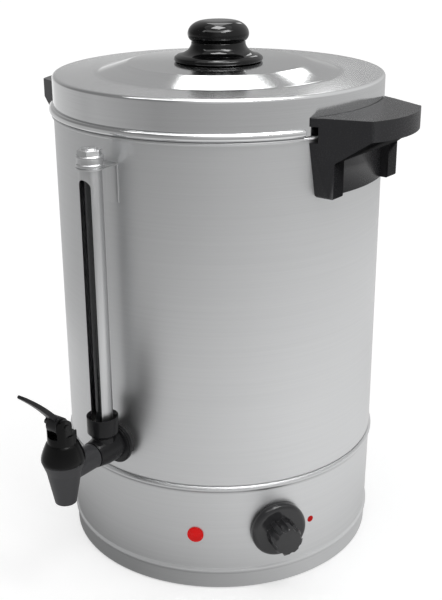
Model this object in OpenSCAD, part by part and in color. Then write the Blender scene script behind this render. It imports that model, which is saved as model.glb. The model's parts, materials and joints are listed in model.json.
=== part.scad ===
// Electric hot water urn with a lift-off lid, a sight gauge and a lever tap.
// Millimetres, +Z up. The origin lies on the table, on the axis of the tank.
// The tap faces -Y, and the handles stand at +X and -X.

/* [Tank] */
// Outer diameter of the tank and of the base
body_d = 300; // [260:1:360]
// Height of the tank wall above the base
tank_h = 310; // [280:1:420]
// Thickness of the tank wall
tank_wall = 1; // [0.6:0.1:1.6]
// Radius of the rolled rim of the tank
rim_roll_r = 1.5; // [1.2:0.1:2.2]
// Height of the tank floor above the joint with the base
floor_lift = 10; // [8:0.5:14]
// Thickness of the tank floor
floor_t = 1.2; // [0.8:0.1:2]

/* [Base] */
// Height of the base shell
base_h = 108; // [100:1:140]
// Thickness of the base shell
base_wall = 1; // [0.6:0.1:1.6]
// How much the radius of the base shrinks towards the table
base_draft = 1.3; // [0:0.1:2]
// Gap between the hem of the base and the table
ground_gap = 1; // [0.5:0.1:3]
// Height of the lower bead above the hem
low_bead_h = 18; // [12:0.5:26]
// How far the lower bead stands out of the base
low_bead_out = 1.5; // [0.8:0.1:2.5]
// How far the bead under the tank stands out of the base
top_bead_out = 2; // [1:0.1:3]
// Height of the ledge that carries the bottom cover
ledge_h = 6; // [5:0.5:9]
// Thickness of the bottom cover
cover_t = 1; // [0.8:0.1:2]
// Diameter of a foot
foot_d = 24; // [18:1:30]
// Distance from the axis to a foot
foot_place_r = 124; // [100:1:127]

/* [Lid] */
// Height of the lid skirt, up to the flat of the lid
lid_skirt_h = 33.5; // [28:0.5:45]
// Thickness of the lid sheet
lid_t = 1; // [0.6:0.1:1.6]
// Height of the raised middle of the lid
lid_step_h = 8; // [4:0.5:14]
// Diameter of the raised middle at its top
plateau_d = 168; // [130:1:190]
// Diameter of the raised middle at its foot
step_foot_d = 218; // [205:1:240]
// Radius of the lid's top corner
lid_corner_r = 3; // [2:0.5:6]
// How far the wired edge of the lid stands out
lid_bead_out = 4; // [3:0.1:5]
// Height of the wired edge of the lid
lid_bead_h = 7; // [5:0.5:9]
// Depth of the collar that drops into the tank
collar_depth = 9; // [6:0.5:14]
// Play between the collar and the tank wall
collar_play = 1; // [0.6:0.1:2]
// Half the angle of the flat that lets the lid pass a handle
lid_flat_half_deg = 26; // [25.5:0.5:30]

/* [Lid knob] */
// Height of the lid knob
knob_h = 35.5; // [28:0.5:45]
// Diameter of the foot of the lid knob
knob_foot_d = 80.8; // [70:0.1:95]
// Diameter of the neck of the lid knob
knob_neck_d = 49; // [40:0.5:52]
// Diameter of the ball of the lid knob
knob_ball_d = 55.4; // [53:0.1:66]
// Diameter of the screw that holds the lid knob
knob_screw_d = 6; // [5:0.5:8]

/* [Handles] */
// How far a handle reaches from the axis of the tank
handle_reach = 194; // [186:1:200]
// How far a handle's outer edge bows out between its corners
handle_bow = 11; // [5:0.5:14]
// Half the width of a handle at its outer corners
handle_corner_half = 42; // [36:1:46]
// Half the width of a handle against the lid
handle_root_half = 61.5; // [58:0.5:62]
// Half the width of a handle at its lower end
handle_foot_half = 55; // [50:0.5:56]
// Height of a handle's top above the tank rim, at the lid
handle_rise = 15.3; // [13:0.5:18]
// How much the handle's top falls towards its outer edge
handle_fall = 1; // [0:0.5:6]
// Thickness of the handle's outer edge
handle_edge_t = 17; // [12:0.5:20]
// Overall height of a handle
handle_h = 66.5; // [60:0.5:74]
// Height of the legs and web below the grip
handle_web_h = 30; // [24:0.5:34]
// Width of a handle leg
handle_leg_w = 17; // [14:0.5:20]
// Distance from the tank axis to the face of the handle legs
handle_leg_r = 156.5; // [155.5:0.5:160]
// Thickness of the web between the handle legs
handle_web_t = 4; // [3:0.5:5]
// Height of the handle screws above the lower end
handle_screw_h = 16; // [12:0.5:20]

/* [Tap] */
// Height of the tap's axis above the hem
tap_h = 140; // [136:1:160]
// Diameter of the flange against the tank
flange_d = 37.5; // [34:0.5:44]
// Thickness of that flange
flange_t = 4; // [3:0.5:6]
// Thickness of the rubber washer behind it
washer_t = 3; // [2:0.5:4]
// Diameter of that washer and of the collar before it
collar_d = 31; // [28:0.5:33]
// Length of the collar between the washer and the flange
collar_l = 3; // [2:0.5:4]
// Diameter of the tee's barrel
barrel_d = 27.5; // [25:0.5:30]
// Diameter of the tee's threaded shank
shank_d = 20; // [18:0.5:22]
// Distance from the tank wall to the gauge's axis
gauge_out = 22.5; // [22:0.5:28]
// Distance from the gauge's axis to the tap's axis
tap_out = 50; // [46:1:60]
// Diameter of the tap's pipe
pipe_d = 22.5; // [20:0.5:24]
// Bore of the tap's pipe and of the tee
water_bore_d = 12; // [9:0.5:13]
// Length of the spout below the tap's axis
spout_drop = 29; // [26:1:40]
// Diameter of the spout's mouth
spout_tip_d = 18.6; // [17.5:0.2:20]
// Bore of the spout
spout_bore_d = 14; // [12:0.5:14.5]
// Diameter of the spout where it begins to flare
spout_top_d = 30; // [28:0.5:32]
// Diameter of the tap where the bonnet stands on the body
bonnet_bulge_d = 38; // [35:0.5:42]
// Diameter of the bonnet at its shoulder
bonnet_neck_d = 25; // [24.5:0.5:27]
// Height of the lever's pivot above the tap's axis
pivot_h = 47; // [46:0.5:52]
// Diameter of the lever's pivot pin
pivot_pin_d = 3; // [2.5:0.1:3.4]
// Distance from the lever's pivot to the link pin
link_arm = 5; // [4:0.1:5.5]
// Diameter of the link pin
link_pin_d = 2.5; // [2:0.1:2.8]
// How far the lever turns, in degrees
lever_travel = 35; // [20:1:38]
// Rise of the lever's arm above level at rest, in degrees
lever_rise = 45; // [40:0.5:50]
// Length of the lever's arm
lever_l = 54; // [40:1:70]
// Thickness of the lever's arm at its hub
lever_t = 5; // [4:0.5:6]
// Thickness of the lever's arm at its tip
lever_tip_t = 3; // [2:0.5:4]
// How far the lever's arm bows up
lever_bow = 1.5; // [0:0.5:3]
// Width of the lever's arm
lever_w = 8; // [7:0.5:10]
// Diameter of the valve stem
stem_d = 4; // [3.5:0.1:4.4]
// Wire of the valve spring
spring_wire_d = 1.2; // [0.8:0.1:1.4]
// Turns of the valve spring
spring_turns = 6; // [4:1:8]

/* [Sight gauge] */
// Height of the guard tube's upper end above the hem
guard_top_h = 405; // [394:1:408]
// Diameter of the guard tube
guard_d = 19; // [18:0.5:20]
// Wall of the guard tube
guard_wall = 1; // [0.8:0.1:1.5]
// Half the angle that the guard's slot spans
slot_half_deg = 42; // [35:1:50]
// Outer diameter of the sight glass
glass_d = 12; // [10:0.5:13]
// Wall of the sight glass
glass_wall = 1.4; // [1:0.1:2]
// Diameter of the tee's cup
cup_d = 28; // [26:0.5:30]
// Diameter of the gauge cap
cap_d = 23; // [22.5:0.5:26]
// Height of the gauge cap
cap_h = 15.5; // [15:0.5:20]
// Width of the gauge bracket
bracket_w = 20; // [16:0.5:24]
// Height of the gauge bracket
bracket_h = 33.5; // [24:0.5:40]
// Thickness of the bracket sheet
bracket_t = 1.5; // [1:0.1:2]

/* [Controls] */
// Height of the control knob's axis above the hem
knob_axis_h = 60; // [52:1:66]
// Place of the control knob round the base, in degrees from the tap
knob_deg = 57; // [50:0.5:65]
// Diameter of the control knob's skirt
dial_d = 52; // [44:0.5:56]
// Thickness of that skirt
dial_t = 8; // [7:0.5:11]
// Diameter of the knob's grip
grip_d = 28; // [25:0.5:32]
// Height of the knob's grip above the skirt
grip_h = 19; // [13:0.5:22]
// Number of flutes round the grip
flutes = 8; // [6:1:10]
// Diameter of the thermostat's shaft
shaft_d = 6; // [5:0.5:6.5]
// Place of the lamp round the base, in degrees from the tap
lamp_deg = 28; // [20:0.5:34]
// Height of the lamp above the hem
lamp_h = 57; // [50:1:66]
// Diameter of the lamp's lens
lamp_d = 15; // [13.5:0.5:18]
// Diameter of the lamp's hole
lamp_hole_d = 12; // [10:0.5:12.5]

/* [Heater and wiring] */
// Diameter of the element's tube
element_d = 8; // [6.5:0.5:10]
// Radius of the element's ring
element_r = 85; // [70:1:95]
// Height of the element above the tank floor
element_lift = 14; // [12:0.5:18]
// Angle between the element's two ends, in degrees
element_gap_deg = 44; // [36:1:60]
// Height of the cord gland's axis above the hem
gland_h = 40; // [34:1:50]
// Bore of the cord gland
gland_bore_d = 8.5; // [7:0.5:10]
// Width of the thermostat
thermostat_w = 34; // [30:1:38]

/* [Clearances] */
// Radial clearance of a pin or shaft that turns or slides
run_gap = 0.05; // [0.02:0.01:0.08]
// Gap between two pieces that move past each other
part_gap = 0.3; // [0.2:0.05:0.4]
// Radial clearance of a screw or shank in its hole
hole_gap = 0.2; // [0.15:0.05:0.3]
// Gap between two fixed pieces that nest in each other
nest_gap = 0.05; // [0.02:0.01:0.1]

/* [Hidden] */

$fn = 64;
far = 600;
body_r = body_d / 2;
tank_in_r = body_r - tank_wall;
base_in_r = body_r - base_wall;
hem_z = ground_gap;
joint_z = hem_z + base_h;
rim_z = joint_z + tank_h;
lid_z = rim_z + part_gap;
lid_flat_z = lid_z + lid_skirt_h;
plateau_z = lid_flat_z + lid_step_h;
floor_z = joint_z + floor_lift;
floor_top = floor_z + floor_t;
ledge_z = hem_z + ledge_h;

steel = [0.72, 0.73, 0.74];
bright = [0.82, 0.83, 0.85];
black = [0.10, 0.10, 0.11];
dark = [0.17, 0.17, 0.18];
red = [0.80, 0.05, 0.04];
brass = [0.75, 0.62, 0.32];
rubber = [0.16, 0.15, 0.15];
silicone = [0.80, 0.76, 0.70];

// Puts its children r out from the axis, at an angle from the tap, at height z.
module at(deg, r, z) {
  rotate([0, 0, deg]) translate([0, -r, z]) children();
}

// A bar that points outwards, from the distance r0 to r1.
module bar_out(d, r0, r1) {
  translate([0, -r0, 0]) rotate([90, 0, 0]) cylinder(d = d, h = r1 - r0);
}

// A quarter bend of a tube, from its top end to the side a = 0 or a = 90 degrees away.
// It is a hair thinner than the straight tubes and runs a little way into both of them.
module tube_bend(d, r, turn) {
  rotate([90, 0, 0]) rotate([0, 0, turn - 1]) rotate_extrude(angle = 92, $fn = 48)
    translate([r, 0]) circle(d = d - nest_gap, $fn = 24);
}

// A bar along X, centred.
module bar_x(d, l) {
  rotate([0, 90, 0]) cylinder(d = d, h = l, center = true);
}

// A pan-head screw that points along +Z, with its head below z = 0.
module screw(d, l, head_d, head_h) {
  cylinder(d = d, h = l);
  translate([0, 0, -head_h]) cylinder(d = head_d, h = head_h);
}

// A hexagon nut that stands on z = 0.
module nut(flats, h, bore) {
  difference() {
    cylinder(d = flats / cos(30), h = h, $fn = 6);
    translate([0, 0, -1]) cylinder(d = bore, h = h + 2);
  }
}

// Points along an arc in the (radius, height) plane.
function arc(cx, cy, r, a0, a1, n) =
  [for (i = [0:n]) [cx + r * cos(a0 + (a1 - a0) * i / n), cy + r * sin(a0 + (a1 - a0) * i / n)]];

// ---- Tank ----------------------------------------------------------------

tap_z = hem_z + tap_h;
shank_hole_d = shank_d + 2 * hole_gap;

// The bead's centre lies inside the wall, so that only an arc of it stands out.
module rolled_rim() {
  roll_c = body_r - tank_wall + rim_roll_r;
  rotate_extrude($fn = 128)
    difference() {
      translate([roll_c, rim_z - rim_roll_r]) circle(r = rim_roll_r, $fn = 32);
      translate([0, rim_z - 3 * rim_roll_r]) square([tank_in_r, 4 * rim_roll_r]);
    }
}

module tank_shell() {
  color(steel) difference() {
    union() {
      translate([0, 0, joint_z])
        difference() {
          cylinder(r = body_r, h = tank_h - rim_roll_r, $fn = 128);
          translate([0, 0, -1]) cylinder(r = tank_in_r, h = tank_h + 2, $fn = 128);
        }
      rolled_rim();
    }
    at(0, 0, tap_z) bar_out(shank_hole_d, tank_in_r - 5, body_r + 5);
    handle_screw_places() cylinder(d = screw_d + 2 * hole_gap, h = body_r / 2, center = true);
  }
}

dish_corner_r = 5;
dish_flange_h = 6;

// The floor is a shallow dish, welded into the tank by its upturned flange.
module tank_floor() {
  out_r = tank_in_r - nest_gap;
  color(bright) difference() {
    rotate_extrude($fn = 128) polygon(concat(
      [[0, floor_z]],
      arc(out_r - dish_corner_r, floor_z + dish_corner_r, dish_corner_r, -90, 0, 6),
      [[out_r, floor_z + dish_flange_h], [out_r - floor_t, floor_z + dish_flange_h]],
      arc(out_r - dish_corner_r, floor_z + dish_corner_r, dish_corner_r - floor_t, 0, -90, 6),
      [[0, floor_top]]));
    element_places() translate([0, 0, floor_z - 1])
      cylinder(d = bush_d + 2 * hole_gap, h = floor_t + 2);
  }
}

// ---- Base ----------------------------------------------------------------

collar_up_h = 8;
ledge_in_r = foot_place_r - foot_d / 2 + 2;
bead_half_h = 3;
hem_w = 6;

function bead(z, out) = [
  [body_r, z - bead_half_h], [body_r + out * 0.7, z - bead_half_h * 0.62],
  [body_r + out, z], [body_r + out * 0.7, z + bead_half_h * 0.62], [body_r, z + bead_half_h]];
function drafted(p, share) = [for (q = p) [q[0] - base_draft * share, q[1]]];

top_bead_z = joint_z - bead_half_h;
low_bead_z = hem_z + low_bead_h;
low_share = 1 - low_bead_h / base_h;

// Radius of the base's outer face at a height between the two beads.
function face_r(z) =
  body_r - base_draft * low_share * (top_bead_z - bead_half_h - z)
           / (top_bead_z - low_bead_z - 2 * bead_half_h);

// One spun shell: hem, two beads, and a collar that the tank slips over.
module base_shell() {
  hem_r = body_r - base_draft;
  collar_r = tank_in_r - nest_gap;
  color(steel) difference() {
    rotate_extrude($fn = 128) polygon(concat(
      [[ledge_in_r, ledge_z], [ledge_in_r, ledge_z + base_wall],
       [hem_r - hem_w, ledge_z + base_wall], [hem_r - hem_w, hem_z + base_wall],
       [hem_r - base_wall, hem_z + base_wall], [base_in_r - base_draft * low_share, low_bead_z],
       [base_in_r, top_bead_z], [collar_r - base_wall, joint_z - base_wall],
       [collar_r - base_wall, joint_z + collar_up_h], [collar_r, joint_z + collar_up_h],
       [collar_r, joint_z]],
      reverse_points(bead(top_bead_z, top_bead_out)),
      reverse_points(drafted(bead(low_bead_z, low_bead_out), low_share)),
      [[hem_r, hem_z + 1], [hem_r - 0.6, hem_z], [hem_r - hem_w - base_wall, hem_z],
       [hem_r - hem_w - base_wall, ledge_z]]));
    at(knob_deg, 0, dial_z) wall_hole(neck_d);
    at(knob_deg, 0, dial_z) for (s = [-1, 1]) translate([0, 0, s * fixing_half]) wall_hole(fixing_d);
    at(lamp_deg, 0, lamp_z) wall_hole(lamp_hole_d);
    at(180, 0, gland_z) wall_hole(gland_shank_d);
    foot_places() translate([0, 0, ledge_z - 1]) cylinder(d = foot_screw_d + 2 * hole_gap, h = 5);
  }
}

// A hole through the side for a shank of this diameter.
module wall_hole(shank) {
  bar_out(shank + 2 * hole_gap, base_in_r - 9, body_r + 5);
}

function reverse_points(p) = [for (i = [len(p) - 1:-1:0]) p[i]];

module bottom_cover() {
  cover_r = body_r - base_draft - hem_w - base_wall - hole_gap;
  color(steel) difference() {
    translate([0, 0, ledge_z - cover_t]) cylinder(r = cover_r, h = cover_t, $fn = 128);
    foot_places() translate([0, 0, ledge_z - cover_t - 1])
      cylinder(d = foot_screw_d + 2 * hole_gap, h = cover_t + 2);
    earth_place() translate([0, 0, ledge_z - cover_t - 1])
      cylinder(d = earth_d + 2 * hole_gap, h = cover_t + 2);
  }
}

foot_screw_d = 5;
foot_nut_flats = 1.6 * foot_screw_d;
foot_nut_h = 0.8 * foot_screw_d;
foot_head_d = 9;
foot_head_h = 2.5;
foot_h = ledge_z - cover_t;
foot_count = 4;

module foot_places() {
  for (i = [0:foot_count - 1])
    rotate([0, 0, 45 + i * 360 / foot_count]) translate([foot_place_r, 0, 0]) children();
}

module feet() {
  color(rubber) foot_places() difference() {
    union() {
      cylinder(d1 = foot_d - 2, d2 = foot_d, h = 1);
      translate([0, 0, 1]) cylinder(d = foot_d, h = foot_h - 1);
    }
    translate([0, 0, -1]) cylinder(d = foot_screw_d + 2 * hole_gap, h = foot_h + 2);
    translate([0, 0, -1]) cylinder(d = foot_head_d + 2 * hole_gap, h = foot_h - 1);
  }
}

// The heads lie in the feet, and the shanks pass the cover and the ledge.
module foot_screws() {
  color(bright) foot_places() translate([0, 0, foot_h - 2])
    screw(foot_screw_d, 2 + cover_t + base_wall + foot_nut_h + 2, foot_head_d, foot_head_h);
}

module foot_nuts() {
  color(bright) foot_places() translate([0, 0, ledge_z + base_wall])
    nut(foot_nut_flats, foot_nut_h, foot_screw_d + 2 * nest_gap);
}

// ---- Heating element -------------------------------------------------------

bush_d = 13;
bush_head_d = 18;
bush_nut_h = 5;
seal_t = 2;
element_z = floor_top + element_lift;
element_bend_r = 9;
bush_head_h = 2.5;
bush_below = 8;
terminal_d = 4;
terminal_l = 10;

// The two ends of the ring turn down through the floor, either side of the back.
module element_places() {
  for (s = [-1, 1]) rotate([0, 0, 180 + s * element_gap_deg / 2])
    translate([-s * element_bend_r, -element_r, 0]) children();
}

module heating_element() {
  color(dark) {
    translate([0, 0, element_z]) rotate([0, 0, 90 + element_gap_deg / 2])
      rotate_extrude(angle = 360 - element_gap_deg, $fn = 96)
        translate([element_r, 0]) circle(d = element_d, $fn = 24);
    for (s = [-1, 1]) rotate([0, 0, 180 + s * element_gap_deg / 2])
      translate([0, -element_r, element_z - element_bend_r])
        tube_bend(element_d, element_bend_r, s > 0 ? 90 : 0);
    element_places() {
      translate([0, 0, floor_top + seal_t])
        cylinder(d = element_d, h = element_lift - element_bend_r - seal_t);
      translate([0, 0, floor_top + seal_t]) cylinder(d = bush_head_d, h = bush_head_h);
      translate([0, 0, floor_z - bush_below])
        cylinder(d = bush_d, h = bush_below + floor_t + seal_t + 1);
      translate([0, 0, floor_z - bush_below - terminal_l]) cylinder(d = terminal_d, h = terminal_l + 2);
    }
  }
}

module element_seals() {
  color(silicone) element_places() translate([0, 0, floor_top]) difference() {
    cylinder(d = bush_head_d, h = seal_t);
    translate([0, 0, -1]) cylinder(d = bush_d + 2 * nest_gap, h = seal_t + 2);
  }
}

module element_nuts() {
  color(brass) element_places() translate([0, 0, floor_z - bush_nut_h])
    nut(bush_head_d, bush_nut_h, bush_d + 2 * nest_gap);
}

// ---- Thermostat, lamp and wiring -------------------------------------------

dial_z = hem_z + knob_axis_h;
lamp_z = hem_z + lamp_h;
gland_z = hem_z + gland_h;
dial_back_r = face_r(dial_z + dial_d / 2) + part_gap;
neck_d = 10;
fixing_d = 4;
fixing_half = 14;
fixing_head_d = 7;
fixing_head_h = 1.8;
thermostat_depth = 20;
// The flat front of the thermostat meets the round wall along two lines.
thermostat_front_r =
  sqrt(pow(face_r(dial_z - thermostat_w / 2) - base_wall, 2) - pow(thermostat_w / 2, 2)) - nest_gap;
thermostat_back_r = thermostat_front_r - thermostat_depth;

module thermostat_body() {
  color(silicone) at(knob_deg, 0, dial_z) difference() {
    union() {
      translate([-thermostat_w / 2, -thermostat_front_r, -thermostat_w / 2])
        cube([thermostat_w, thermostat_depth, thermostat_w]);
      bar_out(neck_d, thermostat_front_r - 1, dial_back_r - part_gap);
      // Two terminals on the back
      for (s = [-1, 1]) translate([s * 9 - 3, -thermostat_back_r - 0.5, -12]) cube([6, 8, 0.8]);
    }
    bar_out(shaft_d + 2 * run_gap, thermostat_front_r - 12, body_r + 3);
    for (s = [-1, 1]) translate([0, 0, s * fixing_half])
      bar_out(fixing_d + 2 * nest_gap, thermostat_front_r - 8, body_r);
  }
}

module thermostat_screws() {
  color(bright) at(knob_deg, 0, dial_z) for (s = [-1, 1]) {
    seat_r = face_r(dial_z + s * fixing_half + fixing_head_d / 2) + nest_gap;
    translate([0, 0, s * fixing_half]) {
      bar_out(fixing_d, thermostat_front_r - 6, seat_r + 1);
      bar_out(fixing_head_d, seat_r, seat_r + fixing_head_h);
    }
  }
}

// The shaft has a flat, and so has the bore of the knob.
shaft_flat = 1;
shaft_out = 14;

module flat_shaft(d, r0, r1) {
  difference() {
    bar_out(d, r0, r1);
    translate([-d, -r1 - 1, d / 2 - shaft_flat]) cube([2 * d, r1 - body_r - 1, d]);
  }
}

module thermostat_shaft() {
  color(bright) at(knob_deg, 0, dial_z)
    flat_shaft(shaft_d, thermostat_front_r - 11, body_r + shaft_out);
}

bulb_d = 6;
bulb_l = 70;
bulb_z = floor_z - bulb_d / 2 - nest_gap;
bulb_r0 = 35;
capillary_d = 2;
capillary_bend = 10;
capillary_r = thermostat_back_r + 6;

// The bulb lies under the tank floor, and its capillary turns down to the thermostat.
module thermostat_bulb() {
  color([0.72, 0.45, 0.30]) at(knob_deg, 0, bulb_z) {
    bar_out(bulb_d, bulb_r0, bulb_r0 + bulb_l);
    bar_out(capillary_d, bulb_r0 + bulb_l - 1, capillary_r - capillary_bend);
    translate([0, -capillary_r + capillary_bend, -capillary_bend]) rotate([0, 0, -90])
      tube_bend(capillary_d, capillary_bend, 0);
    translate([0, -capillary_r, dial_z + thermostat_w / 2 - bulb_z])
      cylinder(d = capillary_d, h = bulb_z - capillary_bend - dial_z - thermostat_w / 2);
  }
}

clip_t = 0.8;
clip_w = 8;

module bulb_clip() {
  half = bulb_d / 2 + clip_t + nest_gap;
  color(bright) at(knob_deg, 0, 0) for (r = [bulb_r0 + 15, bulb_r0 + bulb_l - 15])
    translate([0, -r, bulb_z]) rotate([90, 0, 0]) translate([0, 0, -clip_w / 2])
      linear_extrude(clip_w) difference() {
        union() {
          circle(r = half);
          translate([-half, 0]) square([2 * half, bulb_d / 2]);
          translate([-half - 6, bulb_d / 2 - clip_t]) square([2 * half + 12, clip_t]);
        }
        circle(d = bulb_d + 2 * nest_gap);
        translate([-bulb_d / 2 - nest_gap, 0]) square([bulb_d + 2 * nest_gap, bulb_d]);
      }
}

cutout_r = 30;
cutout_d = 16;

// A snap-disc cut-out that looks at the tank floor.
module cutout() {
  color(dark) at(180, cutout_r, 0) {
    translate([0, 0, floor_z - 1]) cylinder(d = 24, h = 1);
    translate([0, 0, floor_z - 11]) cylinder(d = cutout_d, h = 10.5);
    for (s = [-1, 1]) translate([s * 5 - 3, -0.4, floor_z - 20]) cube([6, 0.8, 9.5]);
  }
}

block_l = 40;
block_w = 20;
block_h = 16;
block_r = 95;

// A three-way mains terminal block near the gland.
module terminal_block() {
  color(silicone) at(150, block_r, ledge_z) difference() {
    translate([-block_l / 2, -block_w / 2, 0]) cube([block_l, block_w, block_h]);
    for (i = [-1:1]) translate([i * 12, 0, 0]) {
      translate([0, 0, 4]) cylinder(d = 6, h = block_h);
      translate([0, 0, 9]) rotate([90, 0, 0]) cylinder(d = 4, h = block_w + 2, center = true);
    }
  }
}

earth_d = 5;
earth_r = 100;

module earth_place() {
  at(205, earth_r, 0) children();
}

module earth_stud() {
  color(brass) earth_place() {
    translate([0, 0, ledge_z - cover_t - 2.5]) cylinder(d = 9, h = 2.5);
    translate([0, 0, ledge_z - cover_t - 1]) cylinder(d = earth_d, h = 16);
    translate([0, 0, ledge_z]) nut(8, 4, 1);
    translate([0, 0, ledge_z + 6]) nut(8, 3, 1);
  }
}

gland_shank_d = 15.4;
gland_flange_d = 22;
gland_inside = 10;
gland_nose = 8;

// Distance from the axis at which a flat nut meets the round inside of the base.
function nut_seat_r(z, flats) =
  sqrt(pow(face_r(z - flats / 2) - base_wall, 2) - pow(flats / 2 / cos(30), 2)) - nest_gap;

// The cord's gland. Its bore is open, since the picture shows no cord.
module cord_gland() {
  seat_r = face_r(gland_z + gland_flange_d / 2) + nest_gap;
  color(black) at(180, 0, gland_z) difference() {
    union() {
      bar_out(gland_shank_d, base_in_r - gland_inside, body_r + 1);
      difference() {
        bar_out(gland_flange_d, body_r - 2, body_r + 3);
        translate([0, 0, -gland_flange_d]) cylinder(r = seat_r, h = 2 * gland_flange_d, $fn = 360);
      }
      translate([0, -body_r - 3, 0]) rotate([90, 0, 0])
        cylinder(d1 = gland_shank_d + 2, d2 = gland_shank_d - 2, h = gland_nose);
    }
    bar_out(gland_bore_d, base_in_r - gland_inside - 1, body_r + gland_nose + 4);
  }
}

module gland_nut() {
  flats = 20;
  color(black) at(180, 0, gland_z) translate([0, -nut_seat_r(gland_z, flats) + 4, 0])
    rotate([90, 0, 0]) nut(flats, 4, gland_shank_d + 2 * nest_gap);
}

lens_flange_t = 1.6;
lamp_depth = 20;

// The lens is drawn with its lamp housing, which is one moulding behind the wall.
module lamp_lens() {
  color(red) at(lamp_deg, 0, lamp_z) {
    translate([0, -face_r(lamp_z + lamp_d / 2) - nest_gap, 0]) rotate([90, 0, 0]) rotate_extrude()
      polygon(concat([[0, 0], [lamp_d / 2, 0], [lamp_d / 2, lens_flange_t]],
        arc(0, lens_flange_t - lamp_d * 0.9, lamp_d * 1.03, 61, 90, 6)));
    bar_out(lamp_hole_d, base_in_r - lamp_depth, body_r);
  }
}

module lamp_nut() {
  flats = lamp_hole_d + 4;
  color(bright) at(lamp_deg, 0, lamp_z) translate([0, -nut_seat_r(lamp_z, flats) + 3, 0])
    rotate([90, 0, 0]) nut(flats, 3, lamp_hole_d + 2 * nest_gap);
}

// ---- Control knob ------------------------------------------------------------

dial_wall = 2;
nib_l = 2.5;
nib_w = 9;
nib_deg = -99;
flute_d = 2.3 * grip_d / flutes;

// The flutes are cut round a cylinder, and a nib on it points to the scale.
module control_knob() {
  color(black) at(knob_deg, 0, dial_z) difference() {
    translate([0, -dial_back_r, 0]) rotate([90, 0, 0]) {
      difference() {
        rotate_extrude($fn = 96) polygon(concat(
          [[0, 0], [dial_d / 2, 0], [dial_d / 2, dial_t * 0.45]],
          arc(dial_d / 2 - dial_t * 0.55, dial_t * 0.45, dial_t * 0.55, 0, 90, 6),
          [[0, dial_t]]));
        translate([0, 0, -1]) cylinder(d = dial_d - 2 * dial_wall, h = dial_t - dial_wall + 1);
      }
      cylinder(d = 14, h = dial_t);
      translate([0, 0, dial_t - 1]) difference() {
        linear_extrude(grip_h + 1) difference() {
          union() {
            circle(d = grip_d);
            rotate(nib_deg) polygon([[grip_d / 2 - 3, -nib_w / 2], [grip_d / 2 - 3, nib_w / 2],
                                 [grip_d / 2 + nib_l, 0]]);
          }
          for (i = [0:flutes - 1]) rotate(nib_deg + (i + 0.5) * 360 / flutes)
            translate([grip_d / 2 + flute_d / 5, 0]) circle(d = flute_d, $fn = 32);
        }
        // A chamfer round the front of the grip
        translate([0, 0, grip_h - 1]) rotate_extrude() polygon([
          [grip_d / 2 + nib_l + 1, -nib_l - 0.5], [grip_d / 2 + nib_l + 1, 3], [grip_d / 2 - 2, 3],
          [grip_d / 2 - 1, 1]]);
      }
    }
    flat_shaft(shaft_d + 2 * nest_gap, body_r - 1, body_r + shaft_out + 1);
  }
}

// ---- Gauge tee and tap ---------------------------------------------------------

gauge_r = body_r + gauge_out;
tap_r = gauge_r + tap_out;
cup_low = 18;
cup_top = 33.5;
cup_funnel = 6;
barrel_end_r = gauge_r + cup_d / 2 + 0.5;
barrel_taper = 12;
socket_d = 16;
socket_l = 13;
shank_in_r = body_r - 28;
guard_seat = 20;
glass_seat = 14;
tee_seal_t = 2;
tee_nut_h = 8;

// Flange, barrel and cup are one moulding, with the water way through it.
module gauge_tee() {
  collar_r = body_r + washer_t;
  flange_r = collar_r + collar_l;
  color(black) difference() {
    union() {
      at(0, 0, tap_z) {
        bar_out(shank_d, shank_in_r, collar_r + 1);
        bar_out(collar_d, collar_r, flange_r + 1);
        bar_out(flange_d, flange_r, flange_r + flange_t - 1.2);
        bar_out(flange_d - 2.4, flange_r, flange_r + flange_t);
        bar_out(barrel_d, flange_r, barrel_end_r - barrel_taper);
        translate([0, -barrel_end_r + barrel_taper, 0]) rotate([90, 0, 0])
          cylinder(d1 = barrel_d, d2 = pipe_d + 1, h = barrel_taper);
      }
      translate([0, -gauge_r, tap_z]) {
        cylinder(d = cup_d - 7, h = cup_low);
        translate([0, 0, cup_low - 4]) cylinder(d1 = cup_d - 7, d2 = cup_d, h = 4);
        translate([0, 0, cup_low]) cylinder(d = cup_d, h = cup_top - cup_low);
      }
    }
    at(0, 0, tap_z) {
      bar_out(water_bore_d, shank_in_r - 1, barrel_end_r + 1);
      bar_out(socket_d + 2 * nest_gap, barrel_end_r - socket_l, barrel_end_r + 1);
    }
    translate([0, -gauge_r, tap_z]) {
      cylinder(d = glass_d - 2 * glass_wall, h = glass_seat + 1);
      translate([0, 0, glass_seat]) cylinder(d = glass_d + 2 * nest_gap, h = 10);
      translate([0, 0, guard_seat]) cylinder(d = guard_d + 2 * nest_gap, h = 30);
      // The cup opens like a funnel, to a thin rim.
      translate([0, 0, cup_top - cup_funnel])
        cylinder(d1 = guard_d + 2 * nest_gap, d2 = cup_d - 1, h = cup_funnel + 0.1);
    }
  }
}

// The washer takes the curve of the tank wall behind the flat flange.
module tee_washer() {
  color(rubber) difference() {
    at(0, 0, tap_z) bar_out(collar_d, body_r - 3, body_r + washer_t);
    at(0, 0, tap_z) bar_out(shank_d + 2 * nest_gap, body_r - 5, body_r + 5);
    translate([0, 0, tap_z - flange_d]) cylinder(r = body_r, h = 2 * flange_d, $fn = 360);
  }
}

tee_seal_in_r = sqrt(pow(tank_in_r, 2) - pow(15, 2)) - tee_seal_t;

module tee_seal() {
  color(silicone) intersection() {
    at(0, 0, tap_z) difference() {
      bar_out(30, tee_seal_in_r, body_r);
      bar_out(shank_d + 2 * nest_gap, tee_seal_in_r - 1, body_r + 1);
    }
    cylinder(r = tank_in_r, h = far, $fn = 360);
  }
}

module tee_nut() {
  color(brass) at(0, 0, tap_z) translate([0, -tee_seal_in_r + tee_nut_h, 0]) rotate([90, 0, 0])
    nut(27, tee_nut_h, shank_d + 2 * nest_gap);
}

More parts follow.
